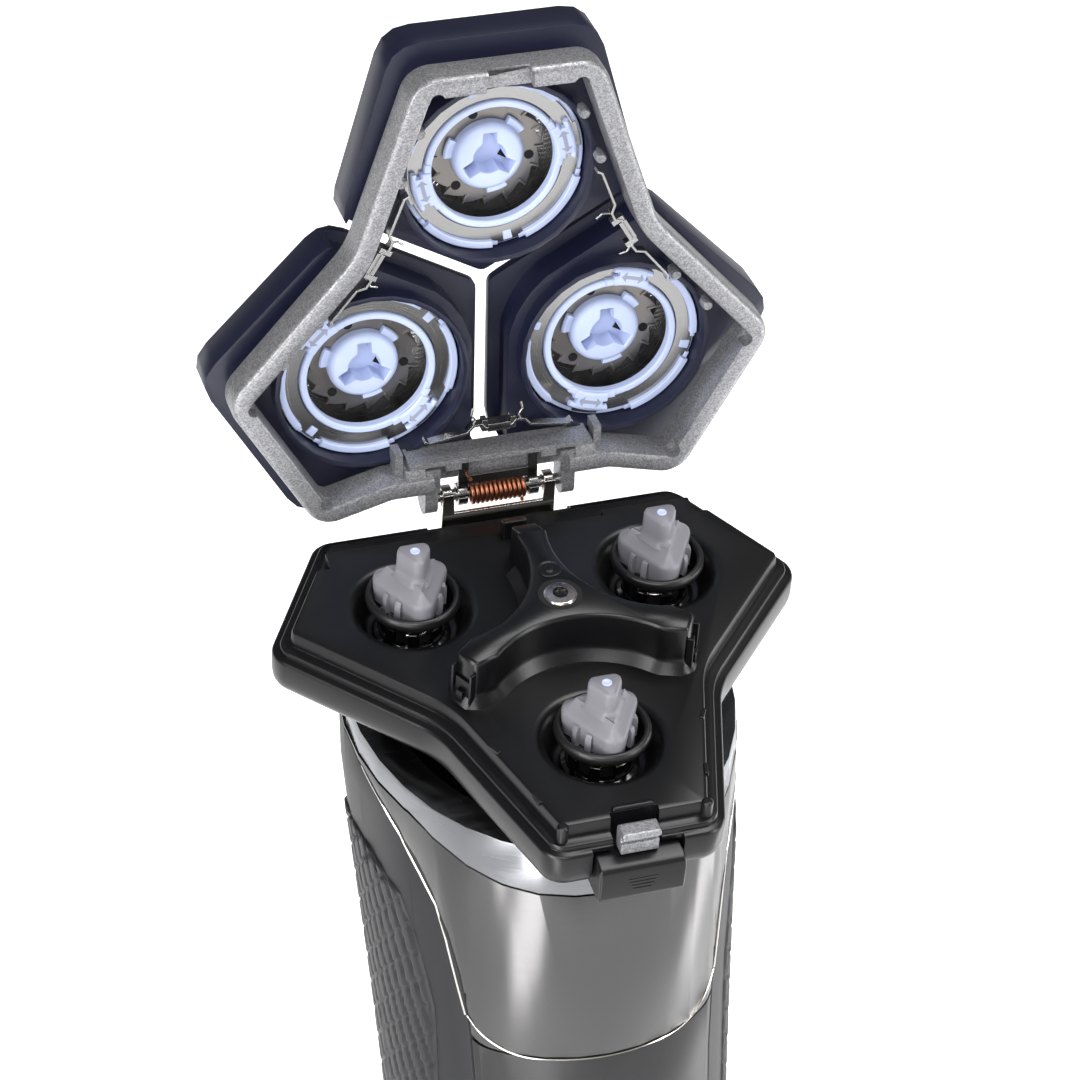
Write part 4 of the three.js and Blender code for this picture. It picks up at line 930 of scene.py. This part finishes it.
# Polished lines along the grips' front edges and under the seam.
def beads():
    look = {"grip": 0.16, "seam": 0.15, "seamHalf": 16.4, "seamFlat": 9, "seamLow": 91.6, "seamRise": 5.6}
    # the grip's front edge, as (height, depth)
    edge = [(96.1, -14.4), (101, -13.4), (106.5, -12.3), (111.2, -11.1), (114.6, -9), (118.9, -5.8),
            (121.9, -1.8), (124.4, 2.7)]
    low, high = edge[0][0], edge[-1][0]
    heights = [low + (high - low) * k / 60 for k in range(61)]
    bm = bmesh.new()
    for side in (-1, 1):
        wire(bm, [skinAt(side, along(edge, z), z, -0.12) for z in heights], look["grip"], 6)
    seam = []
    for k in range(-44, 45):
        x = look["seamHalf"] * k / 44
        bend = clampTo((abs(x) - look["seamFlat"]) / (look["seamHalf"] - look["seamFlat"]))
        z = look["seamLow"] + look["seamRise"] * (1 - math.sqrt(1 - min(bend, 0.98) ** 2))
        widest, front, _, half = skinHalf(z)
        seam.append((x, widest - front * math.sqrt(1 - (x / half) ** 2) + 0.1, z))
    wire(bm, seam, look["seam"], 6)
    piece("panelEdgeLines", bm, upright, "handle", "bright_steel", bevel=0)


gripPads(-1, "Left")
gripPads(1, "Right")
beads()
print("handle dressed")


for node in sorted(frame["nodes"]):
    if node not in remade:
        carryOver(node)
print("carried over", len(frame["nodes"]) - len(remade))


# Painted light: the paper glows by its own emission, brighter behind the object than in front of it.
def glow(tree):
    where = addNode(tree, "TexCoord")
    apart = addNode(tree, "SeparateXYZ", links={"Vector": where.outputs["Object"]})
    ramp = addNode(tree, "MapRange", {"From Min": -0.06, "From Max": 0.10, "To Min": 0.04, "To Max": 0.92,
                                      "interpolation_type": "SMOOTHSTEP"}, {"Value": apart.outputs[1]})
    return {"Emission Strength": ramp.outputs[0]}


def stage():
    look = {"floor": "#F4F4F5", "size": 6.0}
    bm = bmesh.new()
    bmesh.ops.create_grid(bm, x_segments=1, y_segments=1, size=look["size"] / 2)
    mesh = bpy.data.meshes.new("floor")
    bm.to_mesh(mesh)
    bm.free()
    mesh.materials.append(surface("matteWhiteSweepPaper", {
        "Base Color": linear(look["floor"]), "Roughness": 0.9, "Emission Color": linear("#FFFFFF")}, glow))
    floor = bpy.data.objects.new("floor", mesh)
    scene.collection.objects.link(floor)


def camera():
    look = {"where": (-116.35, -376.74, 378.55), "forward": (0.2526, 0.8315, -0.4947),
            "up": (0.1510, 0.4712, 0.8690), "lens": 123.6, "sensor": 36}
    forward = Vector(look["forward"]).normalized()
    right = forward.cross(Vector(look["up"])).normalized()
    data = bpy.data.cameras.new("mainCamera")
    data.lens = look["lens"]
    data.sensor_width = look["sensor"]
    data.clip_start = 0.01
    data.clip_end = 20
    cam = bpy.data.objects.new("mainCamera", data)
    turn = Matrix((right, right.cross(forward), -forward)).transposed()
    cam.matrix_world = Matrix.Translation(Vector(look["where"]) * mm) @ turn.to_4x4()
    scene.collection.objects.link(cam)
    scene.camera = cam


# A rectangular lamp that the camera doesn't see; metres and watts.
def softbox(name, where, aim, size, power):
    data = bpy.data.lights.new(name, "AREA")
    data.shape, data.size, data.size_y = "RECTANGLE", size[0], size[1]
    data.energy = power
    lamp = bpy.data.objects.new(name, data)
    back = (Vector(where) - Vector(aim)).normalized()
    lamp.rotation_mode = "QUATERNION"
    lamp.location = where
    lamp.rotation_quaternion = back.to_track_quat("Z", "Y")
    lamp.visible_camera = False
    scene.collection.objects.link(lamp)


stage()
camera()
surroundings = {"colour": "#F2F3F5", "strength": 0.16}
world = bpy.data.worlds.new("studioWorld")
world.use_nodes = True
world.node_tree.nodes["Background"].inputs[0].default_value = linear(surroundings["colour"])
world.node_tree.nodes["Background"].inputs[1].default_value = surroundings["strength"]
scene.world = world
middle = (0, 0, 0.15)
handleSide = (0, 0, 0.08)
# name, place, aim, size and power; the last three are mirrored as bands in the front plate
lights = [
    ("leftSoftbox", (-0.62, -0.42, 0.30), middle, (0.16, 0.8), 5),
    ("rightSoftbox", (0.55, -0.45, 0.28), middle, (0.10, 0.8), 3.5),
    ("frontSoftbox", (-0.25, -0.9, 0.75), middle, (0.5, 0.4), 6),
    ("topSoftbox", (0.25, -0.1, 0.9), middle, (0.5, 0.35), 4),
    ("leftStrip", (-0.072, -0.096, 0.08), handleSide, (0.026, 0.16), 0.085),
    ("rightStrip", (0.119, -0.015, 0.08), handleSide, (0.036, 0.16), 0.08),
    ("frontCard", (0.03, -0.25, 0.05), handleSide, (0.26, 0.3), 0.05),
]
for name, where, aim, size, power in lights:
    softbox(name, where, aim, size, power)
scene.view_settings.view_transform = "Standard"
print("stage ready")
